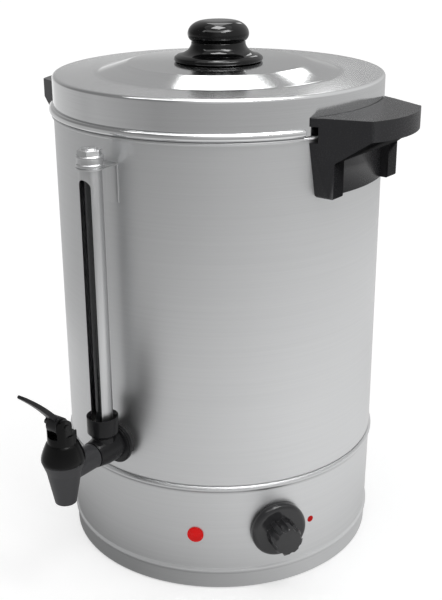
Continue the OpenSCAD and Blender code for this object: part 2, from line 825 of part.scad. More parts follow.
seat_low = 14;
seat_high = 10;
seat_d = 10;
chamber_d = 20;
spigot_gap = 0.5;
flare_low = 1.5;
neck_low = pipe_d / 2 + 0.25;
neck_top = neck_low + 8;
body_neck_d = 24;

// Pipe, valve chamber, neck and spout. The spout flares upwards to meet the bonnet.
module tap_body() {
  color(dark) difference() {
    union() {
      at(0, 0, tap_z) {
        bar_out(pipe_d, barrel_end_r, tap_r);
        bar_out(socket_d, barrel_end_r - socket_l + spigot_gap, barrel_end_r + 1);
      }
      translate([0, -tap_r, tap_z]) rotate_extrude($fn = 96) polygon([
        [0, -spout_drop], [spout_tip_d / 2 - 0.6, -spout_drop], [spout_tip_d / 2, -spout_drop + 0.6],
        [spout_top_d / 2, flare_low], [bonnet_bulge_d / 2 - 1, neck_low - 1.5],
        [bonnet_bulge_d / 2 - 0.3, neck_low - 0.6], [bonnet_bulge_d / 2 - 0.6, neck_low],
        [body_neck_d / 2, neck_low], [body_neck_d / 2, neck_top], [0, neck_top]]);
    }
    at(0, 0, tap_z) bar_out(water_bore_d, barrel_end_r - socket_l - 1, tap_r);
    translate([0, -tap_r, tap_z]) {
      translate([0, 0, -spout_drop - 1])
        cylinder(d = spout_bore_d, h = spout_drop - seat_low + 1);
      translate([0, 0, -seat_low - 1]) cylinder(d = seat_d, h = seat_low);
      translate([0, 0, -seat_high]) cylinder(d = chamber_d, h = 2 * chamber_d);
    }
  }
}

bonnet_bore_d = 18;
ceiling_low = 29;
ceiling_high = 36;
ear_gap = 11.6;
ear_out = 11;
ear_r = 6.5;
pivot_z = tap_z + pivot_h;
half_swing = lever_travel / 2;
pivot_r = tap_r + link_arm * (1 + cos(half_swing)) / 2;
link_z = pivot_z - link_arm * sin(half_swing);
link_r = pivot_r - link_arm * cos(half_swing);

// The domed bonnet screws over the body's neck, and a fork on it holds the lever.
module tap_bonnet() {
  neck_r = bonnet_neck_d / 2;
  bulge_r = bonnet_bulge_d / 2;
  low = neck_low + nest_gap;
  shoulder = ceiling_low - 1;
  color(black) difference() {
    union() {
      translate([0, -tap_r, tap_z]) rotate_extrude($fn = 96) polygon(concat(
        [[0, low], [bulge_r - 0.6, low], [bulge_r, low + 0.8]],
        [for (t = [0.1:0.1:1]) [bulge_r - (bulge_r - neck_r - 1.5) * pow(t, 1.4),
                                low + 2 + (shoulder - low - 2) * t]],
        [[neck_r, shoulder + 1.5], [neck_r, ceiling_high + 2], [0, ceiling_high + 2]]));
      intersection() {
        translate([0, -tap_r, tap_z + ceiling_high]) cylinder(d = bonnet_neck_d, h = pivot_h);
        union() {
          translate([-ear_out, -pivot_r - ear_r, tap_z + ceiling_high])
            cube([2 * ear_out, 2 * ear_r, pivot_h - ceiling_high]);
          translate([0, -pivot_r, pivot_z]) bar_x(2 * ear_r, 2 * ear_out);
        }
      }
    }
    translate([0, -tap_r, tap_z]) {
      cylinder(d = body_neck_d + 2 * nest_gap, h = neck_top + nest_gap);
      cylinder(d = bonnet_bore_d, h = ceiling_low);
      cylinder(d = stem_d + 2 * run_gap, h = 2 * pivot_h);
      translate([-ear_gap / 2, -pivot_h, ceiling_high]) cube([ear_gap, 2 * pivot_h, pivot_h]);
    }
    translate([0, -pivot_r, pivot_z]) bar_x(pivot_pin_d + 2 * nest_gap, bonnet_neck_d);
  }
}

module lever_pin() {
  color(bright) translate([0, -pivot_r, pivot_z]) {
    bar_x(pivot_pin_d, 2 * ear_out + 1);
    for (s = [-1, 1]) translate([s * (ear_out + 0.8), 0, 0]) bar_x(pivot_pin_d + 2, 1.4);
  }
}

hub_r = 7.5;
hub_w = ear_gap - 2 * part_gap;
lever_slot_w = 4.8;
lever_cap_t = 1.8;

// Drawn in the (outward, up) plane about the pivot, then stood up along X.
module lever_plane(w) {
  translate([0, -pivot_r, pivot_z]) rotate([90, 0, -90]) translate([0, 0, -w / 2])
    linear_extrude(w) children();
}

// The arm bows upwards and thins towards its tip, and its slotted hub straddles the stem's eye.
module tap_lever() {
  arm_mid = 2;
  arm_l = lever_l - lever_tip_t / 2;
  // Centre and half thickness of the arm at a share of its length
  mid = function (t) arm_mid + lever_bow * sin(180 * t);
  half = function (t) (lever_t + (lever_tip_t - lever_t) * t) / 2;
  color(black) difference() {
    union() {
      lever_plane(hub_w) circle(r = hub_r);
      lever_plane(lever_w) rotate(lever_rise) polygon(concat(
        [for (t = [0:0.1:0.9]) [arm_l * t, mid(t) - half(t)]],
        arc(arm_l, arm_mid, lever_tip_t / 2, -90, 90, 8),
        [for (t = [0.9:-0.1:0]) [arm_l * t, mid(t) + half(t)]]));
    }
    lever_plane(lever_slot_w) rotate(lever_rise)
      translate([-2 * hub_r, -2 * hub_r]) square([2 * hub_r + 2.5, 3 * hub_r - lever_cap_t]);
    translate([0, -pivot_r, pivot_z]) bar_x(pivot_pin_d + 2 * run_gap, 2 * hub_w);
    translate([0, -link_r, link_z]) bar_x(link_pin_d + 2 * nest_gap, 2 * hub_w);
  }
}

module link_pin() {
  color(bright) translate([0, -link_r, link_z]) bar_x(link_pin_d, hub_w - 0.4);
}

cup_low_z = tap_z - seat_high;
valve_cup_d = 15;
valve_cup_h = 7;
eye_r = 2.7;
tongue_w = 4.2;
eye_gap = 0.1;
shoulder_d = 13;
shoulder_t = 1.5;

// A round stem with a flat eye at its top and a shoulder for the spring.
module valve_stem() {
  swing_in = link_arm * (1 - cos(half_swing)) / 2;
  color(bright) difference() {
    union() {
      translate([0, -tap_r, cup_low_z + 3]) cylinder(d = stem_d, h = tap_z + ceiling_high - cup_low_z);
      translate([0, -tap_r, cup_low_z + valve_cup_h]) cylinder(d = shoulder_d, h = shoulder_t);
      translate([0, -tap_r, 0]) {
        translate([-tongue_w / 2, -eye_r, tap_z + ceiling_high + 1])
          cube([tongue_w, 2 * eye_r, link_z - tap_z - ceiling_high - 1]);
        translate([0, 0, link_z]) bar_x(2 * eye_r, tongue_w);
      }
    }
    for (s = [-1, 1]) translate([0, -tap_r + s * swing_in, link_z])
      bar_x(link_pin_d + 2 * eye_gap, 20);
    translate([-10, -tap_r - swing_in, link_z - link_pin_d / 2 - eye_gap])
      cube([20, 2 * swing_in, link_pin_d + 2 * eye_gap]);
  }
}

// The rubber cup closes the seat.
module valve_cup() {
  color(rubber) translate([0, -tap_r, cup_low_z + part_gap]) difference() {
    rotate_extrude() polygon([
      [0, 0], [seat_d / 2 + 1, 0], [valve_cup_d / 2, 2], [valve_cup_d / 2, valve_cup_h - part_gap],
      [0, valve_cup_h - part_gap]]);
    translate([0, 0, 3 - part_gap]) cylinder(d = stem_d + 2 * nest_gap, h = valve_cup_h);
  }
}

spring_mean_r = 5;
spring_sides = 8;
spring_steps = 16;
spring_low = cup_low_z + valve_cup_h + shoulder_t + spring_wire_d / 2 + nest_gap;
spring_high = tap_z + ceiling_low - spring_wire_d / 2 - nest_gap;

function coil_point(i, j) =
  let (a = 360 * i / spring_steps, b = 360 * j / spring_sides,
       n = spring_turns * spring_steps, r = spring_mean_r + spring_wire_d / 2 * cos(b))
  [r * cos(a), r * sin(a),
   spring_low + (spring_high - spring_low) * i / n + spring_wire_d / 2 * sin(b)];

module valve_spring() {
  n = spring_turns * spring_steps;
  m = spring_sides;
  color(bright) translate([0, -tap_r, 0]) polyhedron(
    points = [for (i = [0:n]) for (j = [0:m - 1]) coil_point(i, j)],
    faces = concat(
      [[for (j = [0:m - 1]) j]],
      [for (i = [0:n - 1]) for (j = [0:m - 1])
        [i * m + j, (i + 1) * m + j, (i + 1) * m + (j + 1) % m, i * m + (j + 1) % m]],
      [[for (j = [m - 1:-1:0]) n * m + j]]));
}

// ---- Sight gauge ---------------------------------------------------------------

guard_low_z = tap_z + guard_seat;
guard_top_z = hem_z + guard_top_h;
arm_z = guard_top_z - 10;
slot_w = guard_d * sin(slot_half_deg);
slot_low_z = tap_z + cup_top - cup_funnel + 1;
slot_top_z = arm_z - 8;
glass_low_z = tap_z + glass_seat;
glass_top_z = guard_top_z + 4;

module gauge_glass() {
  color([0.75, 0.82, 0.85, 0.5]) translate([0, -gauge_r, glass_low_z]) difference() {
    cylinder(d = glass_d, h = glass_top_z - glass_low_z);
    translate([0, 0, -1])
      cylinder(d = glass_d - 2 * glass_wall, h = glass_top_z - glass_low_z + 2);
  }
}

// A long slot with a round top lets the glass be seen.
module gauge_guard() {
  color(bright) difference() {
    translate([0, -gauge_r, guard_low_z]) cylinder(d = guard_d, h = guard_top_z - guard_low_z);
    translate([0, -gauge_r, guard_low_z - 1])
      cylinder(d = guard_d - 2 * guard_wall, h = guard_top_z - guard_low_z + 2);
    translate([-slot_w / 2, -gauge_r - guard_d, slot_low_z])
      cube([slot_w, guard_d, slot_top_z - slot_w / 2 - slot_low_z]);
    translate([0, -gauge_r, slot_top_z - slot_w / 2]) rotate([90, 0, 0])
      cylinder(d = slot_w, h = guard_d);
  }
}

// Rings that centre the glass in the guard.
module gauge_seals() {
  color(silicone) for (z = [guard_low_z + 2, guard_top_z - 8])
    translate([0, -gauge_r, z]) difference() {
      cylinder(d = guard_d - 2 * guard_wall - 2 * nest_gap, h = 5);
      translate([0, 0, -1]) cylinder(d = glass_d + 2 * nest_gap, h = 7);
    }
}

// The ring of the cap covers the guard's end, and the hexagon above it covers the glass.
module gauge_cap() {
  base_z = arm_z + bracket_t;
  low_h = guard_top_z - base_z + part_gap + 0.8;
  hex_h = cap_h - low_h - 1.3;
  color(bright) translate([0, -gauge_r, base_z]) difference() {
    union() {
      rotate_extrude() polygon([
        [0, 0], [cap_d / 2 - 0.5, 0], [cap_d / 2, 0.5], [cap_d / 2, 2.5], [cap_d / 2 - 0.8, 3.3],
        [cap_d / 2 - 0.8, low_h - 2], [cap_d / 2, low_h - 1.5], [cap_d / 2, low_h - 0.5],
        [cap_d / 2 - 0.5, low_h], [0, low_h]]);
      cylinder(d = cap_d - 2, h = low_h + hex_h, $fn = 6);
      translate([0, 0, low_h]) cylinder(d1 = cap_d - 6, d2 = cap_d - 10, h = cap_h - low_h);
    }
    translate([0, 0, -1])
      cylinder(d = guard_d + 2 * nest_gap, h = guard_top_z - base_z + 1 + part_gap);
    cylinder(d = glass_d + 2 * nest_gap, h = glass_top_z - base_z + part_gap);
    cylinder(d = 2, h = cap_h + 1);
  }
}

// A curved plate on the wall, folded out at its top to an arm round the guard.
module gauge_bracket() {
  top_z = arm_z + bracket_t;
  color(bright) difference() {
    union() {
      intersection() {
        difference() {
          translate([0, 0, top_z - bracket_h]) cylinder(r = body_r + bracket_t, h = bracket_h, $fn = 128);
          translate([0, 0, top_z - bracket_h - 1]) cylinder(r = body_r, h = bracket_h + 2, $fn = 128);
        }
        translate([-bracket_w / 2, -body_r - 5, 0]) cube([bracket_w, 40, far]);
      }
      difference() {
        translate([-bracket_w / 2, -gauge_r, arm_z]) cube([bracket_w, gauge_out + 8, bracket_t]);
        translate([0, 0, arm_z - 1]) cylinder(r = body_r, h = bracket_t + 2, $fn = 128);
      }
      translate([0, -gauge_r, arm_z]) cylinder(d = cap_d + 1, h = bracket_t);
    }
    translate([0, -gauge_r, arm_z - 1]) cylinder(d = guard_d + 2 * nest_gap, h = bracket_t + 2);
  }
}

// ---- Handles ---------------------------------------------------------------------

handle_corner_r = handle_reach - handle_bow;
grip_top_z = rim_z + handle_rise;
grip_outer_z = grip_top_z - handle_fall;
grip_low_z = grip_outer_z - handle_edge_t;
foot_z = grip_top_z - handle_h;
web_top_z = foot_z + handle_web_h;
lip_z = lid_z + lid_bead_h + part_gap + 0.7;
groove_low_z = rim_z - 2 * rim_roll_r - 2;
groove_r = body_r + lid_bead_out + 1.2;
skirt_gap_r = body_r + part_gap + 0.2;
screw_d = 5;
screw_z = foot_z + handle_screw_h;
leg_mid = handle_foot_half - handle_leg_w / 2;

// Plan of the grip: straight sides and an outer edge that is one arc.
module handle_plan() {
  edge_r = (pow(handle_corner_half, 2) + pow(handle_bow, 2)) / (2 * handle_bow);
  root_r = sqrt(pow(body_r, 2) - pow(handle_root_half, 2));
  intersection() {
    translate([handle_reach - edge_r, 0]) circle(r = edge_r, $fn = 128);
    polygon([[root_r - 30, -handle_root_half], [root_r, -handle_root_half],
      [handle_corner_r, -handle_corner_half], [far, -handle_corner_half], [far, handle_corner_half],
      [handle_corner_r, handle_corner_half], [root_r, handle_root_half],
      [root_r - 30, handle_root_half]]);
  }
}

// Side view: the grip's top falls outwards, and its underside slopes to the web.
module handle_side() {
  polygon([[body_r - 40, grip_top_z], [body_r, grip_top_z], [far, grip_top_z - handle_fall *
    (far - body_r) / (handle_reach - body_r)], [far, grip_low_z], [handle_corner_r, grip_low_z],
    [handle_leg_r, web_top_z], [handle_leg_r, foot_z + 1], [handle_leg_r - 1, foot_z],
    [body_r - 40, foot_z]]);
}

// Front view: the sides draw in a little towards the lower end.
module handle_front() {
  polygon([[-handle_root_half, grip_top_z + 1], [-handle_root_half, grip_low_z],
    [-handle_foot_half, foot_z + 2], [-handle_foot_half + 2, foot_z], [handle_foot_half - 2, foot_z],
    [handle_foot_half, foot_z + 2], [handle_root_half, grip_low_z],
    [handle_root_half, grip_top_z + 1]]);
}

module handle() {
  leg_in = handle_foot_half - handle_leg_w;
  color(dark) difference() {
    intersection() {
      translate([0, 0, foot_z - 1]) linear_extrude(handle_h + 2) handle_plan();
      rotate([90, 0, 0]) translate([0, 0, -far / 2]) linear_extrude(far) handle_side();
      rotate([90, 0, 90]) linear_extrude(far) handle_front();
    }
    translate([0, 0, foot_z - 1]) cylinder(r = body_r, h = far, $fn = 128);
    // Room for the lid's skirt, its wired edge and the tank's rolled rim
    translate([0, 0, lip_z - 1]) cylinder(r = skirt_gap_r, h = far, $fn = 128);
    translate([0, 0, groove_low_z]) cylinder(r = groove_r, h = lip_z - groove_low_z, $fn = 128);
    // The web between the legs is set back to a curve
    difference() {
      translate([body_r - 20, -leg_in, foot_z - 1]) cube([far, 2 * leg_in, web_top_z - foot_z + 1]);
      cylinder(r = body_r + handle_web_t, h = far, $fn = 128);
    }
    for (s = [-1, 1]) translate([0, s * leg_mid, screw_z]) rotate([0, 90, 0])
      cylinder(d = screw_d + 2 * nest_gap, h = handle_leg_r - 4);
  }
}

module handle_right() {
  handle();
}

module handle_left() {
  rotate([0, 0, 180]) handle();
}

// Four places where a screw passes out through the tank wall into a handle leg.
screw_wall_r = sqrt(pow(tank_in_r, 2) - pow(leg_mid, 2));

module handle_screw_places() {
  for (a = [0, 180]) for (s = [-1, 1]) rotate([0, 0, a])
    translate([screw_wall_r, s * leg_mid, screw_z]) rotate([0, 90, 0]) children();
}

seal_d = 12;
seal_low = seal_d / 2 * tan(asin(leg_mid / tank_in_r));
seal_rim_h = 1.2;
screw_grip = 9;

module handle_screws() {
  color(bright) handle_screw_places() translate([0, 0, -seal_low - seal_rim_h])
    screw(screw_d, seal_low + screw_grip, 2 * screw_d, 0.6 * screw_d);
}

// Each seal is flat under the screw's head and follows the wall behind it.
module handle_seals() {
  color(silicone) intersection() {
    handle_screw_places() difference() {
      translate([0, 0, -seal_low - seal_rim_h]) cylinder(d = seal_d, h = 2 * seal_low + 4);
      cylinder(d = screw_d + 2 * nest_gap, h = far, center = true);
    }
    cylinder(r = tank_in_r, h = far, $fn = 360);
  }
}

// ---- Lid -------------------------------------------------------------------------

collar_out_r = tank_in_r - collar_play;

// Stepped top, skirt, wired edge and collar are drawn as one outline.
module lid_shell() {
  skirt_in_r = body_r - lid_t;
  step_in_r = step_foot_d / 2;
  collar_top_z = lid_z + lid_bead_h - 1;
  color(steel) difference() {
    rotate_extrude($fn = 128) polygon(concat(
      [[0, plateau_z], [plateau_d / 2 - 2, plateau_z], [plateau_d / 2, plateau_z - 0.5],
       [step_in_r - 1, lid_flat_z + 0.3], [step_in_r + 1, lid_flat_z],
       [body_r - lid_corner_r, lid_flat_z]],
      arc(body_r - lid_corner_r, lid_flat_z - lid_corner_r, lid_corner_r, 75, 0, 5),
      [[body_r, lid_z + lid_bead_h]],
      arc(body_r + lid_bead_out - lid_bead_h / 2, lid_z + lid_bead_h / 2, lid_bead_h / 2, 70, -50, 8),
      [[body_r + lid_bead_out * 0.55, lid_z], [skirt_in_r, lid_z],
       [skirt_in_r, collar_top_z - 2 * lid_t], [collar_out_r, collar_top_z - 2 * lid_t],
       [collar_out_r, lid_z - collar_depth], [collar_out_r - lid_t, lid_z - collar_depth],
       [collar_out_r - lid_t, collar_top_z], [skirt_in_r, collar_top_z]],
      arc(skirt_in_r - lid_corner_r + lid_t, lid_flat_z - lid_corner_r,
          lid_corner_r - lid_t, 0, 90, 4),
      [[step_in_r + 1, lid_flat_z - lid_t], [step_in_r - 1, lid_flat_z - lid_t + 0.2],
       [plateau_d / 2, plateau_z - lid_t - 0.5], [plateau_d / 2 - 2, plateau_z - lid_t],
       [0, plateau_z - lid_t]]));
    for (a = [0, 180]) rotate([0, 0, a - lid_flat_half_deg]) translate([0, 0, lid_z - 1])
      rotate_extrude(angle = 2 * lid_flat_half_deg, $fn = 128)
        translate([body_r + nest_gap, 0]) square([20, lid_bead_h + 3]);
    translate([0, 0, plateau_z - 5]) cylinder(d = knob_screw_d + 2 * run_gap, h = 10);
  }
}

knob_z = plateau_z + part_gap;
knob_insert_l = 20;
knob_washer_t = 1.5;

// A turned shape: foot ring, cove, ball and a small flat top.
module lid_knob() {
  foot_r = knob_foot_d / 2;
  neck_r = knob_neck_d / 2;
  ball_r = knob_ball_d / 2;
  neck_z = knob_h * 0.47;
  ball_z = knob_h * 0.67;
  cove_w = foot_r - neck_r - 1.5;
  cove_h = neck_z - 6;
  top_r = knob_ball_d * 0.22;
  color(black) difference() {
    translate([0, 0, knob_z]) rotate_extrude($fn = 96) polygon(concat(
      [[0, 0], [foot_r - 4.5, 0]],
      arc(foot_r - 2.2, 2.4, 2.2, -60, 70, 6),
      [for (a = [80:-10:0]) [neck_r + cove_w * (1 - cos(a)), neck_z - cove_h * sin(a)]],
      [for (a = [-60:15:-15]) [ball_r - 7.5 + 7.5 * cos(a), ball_z + (ball_z - neck_z) * sin(a)]],
      [for (a = [0:10:90]) [top_r + (ball_r - top_r) * cos(a), ball_z + (knob_h - ball_z) * sin(a)]],
      [[0, knob_h]]));
    translate([0, 0, knob_z - 1]) cylinder(d = knob_screw_d + 2 * nest_gap, h = knob_insert_l + 1);
  }
}

module knob_screw() {
  color(bright) translate([0, 0, plateau_z - lid_t - part_gap - knob_washer_t])
    screw(knob_screw_d, knob_insert_l, 2 * knob_screw_d, 4);
}

module knob_washer() {
  color(bright) translate([0, 0, plateau_z - lid_t - part_gap - knob_washer_t]) difference() {
    cylinder(d = 4 * knob_screw_d, h = knob_washer_t);
    translate([0, 0, -1]) cylinder(d = knob_screw_d + 2 * nest_gap, h = knob_washer_t + 2);
  }
}

tank_shell();
tank_floor();
base_shell();
bottom_cover();
feet();
foot_screws();
foot_nuts();
heating_element();
element_seals();
element_nuts();
thermostat_body();
thermostat_screws();
thermostat_bulb();
bulb_clip();
cutout();
terminal_block();
earth_stud();
cord_gland();
gland_nut();
lamp_lens();
lamp_nut();
thermostat_shaft();
control_knob();
gauge_tee();
tee_washer();
tee_seal();
tee_nut();
tap_body();
tap_bonnet();
tap_lever();
lever_pin();
link_pin();
valve_stem();
valve_cup();
valve_spring();
gauge_glass();
gauge_guard();
gauge_seals();
gauge_cap();
gauge_bracket();
handle_right();
handle_left();
handle_screws();
handle_seals();
lid_shell();
lid_knob();
knob_screw();
knob_washer();
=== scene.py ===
import json
import math

import bmesh
import bpy
from bpy.props import FloatProperty, FloatVectorProperty, IntProperty, PointerProperty
from mathutils import Matrix, Vector


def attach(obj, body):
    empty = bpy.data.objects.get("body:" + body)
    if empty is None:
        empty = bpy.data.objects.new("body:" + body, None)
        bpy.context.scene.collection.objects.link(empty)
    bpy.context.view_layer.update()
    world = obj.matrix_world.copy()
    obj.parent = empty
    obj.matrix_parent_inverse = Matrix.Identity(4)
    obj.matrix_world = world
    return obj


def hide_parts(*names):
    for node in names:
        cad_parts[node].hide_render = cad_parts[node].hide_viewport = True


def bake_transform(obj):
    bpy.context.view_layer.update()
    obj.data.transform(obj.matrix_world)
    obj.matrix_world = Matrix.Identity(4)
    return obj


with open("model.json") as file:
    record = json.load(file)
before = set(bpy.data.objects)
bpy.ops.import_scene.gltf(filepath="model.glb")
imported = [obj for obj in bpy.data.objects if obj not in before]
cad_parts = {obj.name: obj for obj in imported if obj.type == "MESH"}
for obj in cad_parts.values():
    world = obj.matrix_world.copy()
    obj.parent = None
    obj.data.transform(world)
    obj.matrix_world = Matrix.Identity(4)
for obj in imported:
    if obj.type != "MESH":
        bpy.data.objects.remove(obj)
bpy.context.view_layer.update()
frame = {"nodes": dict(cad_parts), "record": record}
NODES = frame["nodes"]

bl_info = {
    "name": "Hot water urn",
    "version": (1, 0, 0),
    "blender": (4, 5, 0),
    "location": "View3D > Sidebar > Urn",
    "description": "Models and finishes the visible pieces of a hot water urn on its CAD frame",
    "category": "Object",
}

MM = 0.001

# Places of the urn, in millimetres. Its axis is Z, and the tap points along -Y.
TANK_RADIUS = 150
TANK_FOOT = 109
TANK_TOP = 419
BEAD_HALF = 3.2
LID_FLAT = 452.8
LID_MIDDLE = 460.8
KNOB_FOOT = 461.1
GAUGE_OUT = 172.5
TAP_OUT = 222.5
TAP_LEVEL = 141

# The camera's place in metres, and its turns from level along +Y, in radians.
EYE = (0.5912, -0.7845, 0.6039)
EYE_AROUND = math.radians(37)
EYE_YAW, EYE_DOWN, EYE_ROLL = 0.001119, 0.364250, -0.005432

# Brightness by share of a turn round the urn: 0.5 towards the camera, 0 and 1 behind.
PAPER = ((0.0, 0.88), (1.0, 0.88), (0.075, 0.96), (0.125, 0.62), (0.25, 0.42), (0.36, 0.47),
         (0.46, 0.58), (0.54, 0.69), (0.66, 0.81), (0.78, 0.90), (0.86, 0.88), (0.92, 0.80))
HIGH_PAPER = ((0.0, 0.20), (1.0, 0.20), (0.06, 0.22), (0.13, 0.20), (0.20, 0.12), (0.42, 0.12),
              (0.47, 0.30), (0.50, 0.40), (0.80, 0.42), (0.90, 0.34), (0.94, 0.22))
WINDOW = ((0.0, 0.0), (1.0, 0.0), (0.28, 0.0), (0.34, 0.12), (0.50, 0.15), (0.56, 0.30),
          (0.60, 0.80), (0.66, 0.80), (0.68, 0.12), (0.72, 0.0))
FLOOR_GAIN = ((0.0, 0.80), (1.0, 0.50), (0.34, 0.80), (0.46, 0.71), (0.62, 0.66), (0.85, 0.50))
FOOT_SHADE = ((0.0, 0.65), (1.0, 0.5), (0.40, 0.65), (0.60, 0.30), (0.78, 0.30))

SOCKET_NAMES = {"ior": "IOR", "specular": "Specular IOR Level"}


# ---- Finishes -------------------------------------------------------------------


class Value:
    """An output of a shader node. Arithmetic on it adds Math nodes."""

    def __init__(self, shading, socket):
        self.shading = shading
        self.socket = socket

    def math(self, operation, other=0.0):
        return self.shading.node("Math", {"operation": operation}, {0: self, 1: other})

    def reverse(self, operation, other):
        return self.shading.node("Math", {"operation": operation}, {0: other, 1: self})

    def __add__(self, other):
        return self.math("ADD", other)

    def __sub__(self, other):
        return self.math("SUBTRACT", other)

    def __rsub__(self, other):
        return self.reverse("SUBTRACT", other)

    def __mul__(self, other):
        return self.math("MULTIPLY", other)

    def __truediv__(self, other):
        return self.math("DIVIDE", other)

    def __pow__(self, other):
        return self.math("POWER", other)

    def __lt__(self, other):
        return self.math("LESS_THAN", other)

    def __gt__(self, other):
        return self.math("GREATER_THAN", other)

    def __abs__(self):
        return self.math("ABSOLUTE")

    __radd__ = __add__
    __rmul__ = __mul__


class Shading:
    """A node tree being filled. Every node in it that shades comes from node()."""

    def __init__(self, tree):
        self.tree = tree

    def feed(self, socket, value):
        """Links a value to a socket, or writes a number or a colour into it."""
        if isinstance(value, Value):
            self.tree.links.new(value.socket, socket)
        elif socket.type == "RGBA":
            socket.default_value = (*value[:3], 1)
        else:
            socket.default_value = value

    def node(self, kind, settings=None, inputs=None, output=0):
        """Adds a node, its settings first and then its sockets, and gives one of its outputs."""
        made = self.tree.nodes.new("ShaderNode" + kind)
        for key, value in (settings or {}).items():
            if key == "stops":
                elements = made.color_ramp.elements
                for place, _ in value[2:]:
                    elements.new(place)
                for element, (place, grey) in zip(elements, sorted(value)):
                    element.position = place
                    element.color = (grey, grey, grey, 1)
            else:
                setattr(made, key, value)
        for key, value in (inputs or {}).items():
            self.feed(made.inputs[key], value)
        return Value(self, made.outputs[output])

    def point(self):
        return self.node("TexCoord", output="Object")

    def split(self, vector):
        parts = self.node("SeparateXYZ", inputs={0: vector}).socket.node.outputs
        return [Value(self, part) for part in parts]

    def join(self, x, y, z):
        return self.node("CombineXYZ", inputs={0: x, 1: y, 2: z})

    def noise(self, vector, scale=1.0, detail=2.0, roughness=0.5):
        return self.node("TexNoise", inputs={
            "Vector": vector, "Scale": scale, "Detail": detail, "Roughness": roughness})

    def angle(self, y, x):
        return self.node("Math", {"operation": "ARCTAN2"}, {0: y, 1: x})

    def curve(self, value, stops):
        """Runs through (place, grey) stops. The lowest and the highest come first."""
        return self.node("ValToRGB", {"stops": stops}, {0: value})

    def ramp(self, value, low, high):
        """0 below low, 1 above high."""
        return self.curve(value, ((low, 0.0), (high, 1.0)))

    def ray(self, *kinds):
        """1 for rays of any of these kinds."""
        hits = [self.node("LightPath", output=f"Is {kind} Ray") for kind in kinds]
        for hit in hits[1:]:
            hits[0] = hits[0].math("MAXIMUM", hit)
        return hits[0]

    def blend(self, factor, first, second):
        return self.node("Mix", {"data_type": "RGBA"}, {0: factor, 6: first, 7: second}, 2)

    def bump(self, height, strength, distance):
        return self.node("Bump", inputs={
            "Strength": strength, "Distance": distance, "Height": height})


class Finish(Shading):
    """A material being made. The frame brings plain materials with the names of the slots,
    and these are made over."""

    def __init__(self, name):
        self.material = bpy.data.materials.get(name) or bpy.data.materials.new(name)
        self.material.use_nodes = True
        super().__init__(self.material.node_tree)
        self.tree.nodes.clear()
        self.output = self.tree.nodes.new("ShaderNodeOutputMaterial").inputs["Surface"]

    def show(self, shader):
        self.feed(self.output, shader)


class Surface(Finish):
    """A finish with one surface shader, whose sockets are set by their names."""

    def __init__(self, name, **constants):
        super().__init__(name)
        shader = self.node("BsdfPrincipled")
        self.surface = shader.socket.node
        self.show(shader)
        self.set(**constants)

    def set(self, **sockets):
        for key, value in sockets.items():
            name = SOCKET_NAMES.get(key, key.replace("_", " ").title())
            self.feed(self.surface.inputs[name], value)


def tone(colour, factor):
    """A colour made darker or lighter, no channel past 1."""
    return tuple(min(1.0, c * factor) for c in colour[:3])


def turned_steel(name, colour, roughness, grain=0.07, relief=0.10, seam=False, ring=False):
    """Sheet that was spun or rolled about the urn's axis, and brushed round that axis. A seam
    adds the tank's weld and a painted shade line under the base's bead, a ring the duller
    rim of the lid."""
    finish = Surface(name, metallic=1.0)
    point = finish.point()
    x, y, z = finish.split(point)
    angle = finish.angle(x, y * -1)
    radius = (x * x + y * y) ** 0.5
    fine_lines, coarse_lines = 2400, 380
    fine = finish.noise(
        finish.join(angle * 1.4, z * fine_lines, radius * fine_lines), 1.0, 3.0, 0.6)
    coarse = finish.noise(
        finish.join(angle * 0.6, z * coarse_lines, radius * coarse_lines), 1.0, 2.0)
    smudge = finish.noise(point, 8.0, 3.0, 0.55)
    streaks_and_painted_shade = fine * 0.5 + coarse * 0.3 + smudge * 0.2
    height = fine * 0.6 + coarse * 0.4
    if seam:
        line_half = 0.0009
        weld = (abs(x) < line_half) * (y > 0)
        # Painted shade: a dark line under the base's upper bead, where the bead's shadow falls.
        painted_shade_line = (abs(z - 0.1018) < line_half) * (radius > 0.1488)
        streaks_and_painted_shade = streaks_and_painted_shade - weld * 0.35 - painted_shade_line * 2.2
        height = height + weld * 2.0
    if ring:
        rim_middle, rim_half = 0.130, 0.017
        roughness = (abs(radius - rim_middle) < rim_half) * 0.12 + roughness
    finish.set(
        base_color=finish.blend(streaks_and_painted_shade, tone(colour, 0.88), tone(colour, 1.10)),
        roughness=roughness + (fine - 0.5) * grain + (smudge - 0.5) * 0.10,
        normal=finish.bump(height, relief, 0.00006))


def drawn_steel(name, colour, roughness, axis=2):
    """Drawn tube, wire or folded strip, with fine lines along one axis."""
    finish = Surface(name, metallic=1.0)
    parts = finish.split(finish.point())
    along, across = 14, 1900
    lines = finish.noise(finish.join(*[
        part * (along if i == axis else across) for i, part in enumerate(parts)]), 1.0, 3.0, 0.6)
    smudge = finish.noise(finish.point(), 60.0)
    finish.set(
        base_color=finish.blend(lines, tone(colour, 0.86), tone(colour, 1.10)),
        roughness=roughness + (lines - 0.5) * 0.08 + (smudge - 0.5) * 0.10,
        normal=finish.bump(lines, 0.08, 0.00004))


def moulded_plastic(name, colour, roughness, specular=0.3, pebble=900.0, depth=0.00003):
    """Moulding with a fine spark-eroded skin, flow marks, and gloss where hands rub it."""
    finish = Surface(name, specular=specular)
    point = finish.point()
    skin = finish.noise(point, pebble, 2.0, 0.6)
    flow = finish.noise(point, 22.0, 4.0, 0.55)
    rubbed = finish.ramp(finish.noise(point, 9.0, 3.0), 0.35, 0.75)
    finish.set(
        base_color=finish.blend(flow, tone(colour, 0.8), tone(colour, 1.3)),
        roughness=roughness + (skin - 0.5) * 0.10 + (flow - 0.5) * 0.08 - rubbed * 0.05,
        normal=finish.bump(skin, 0.25, depth))


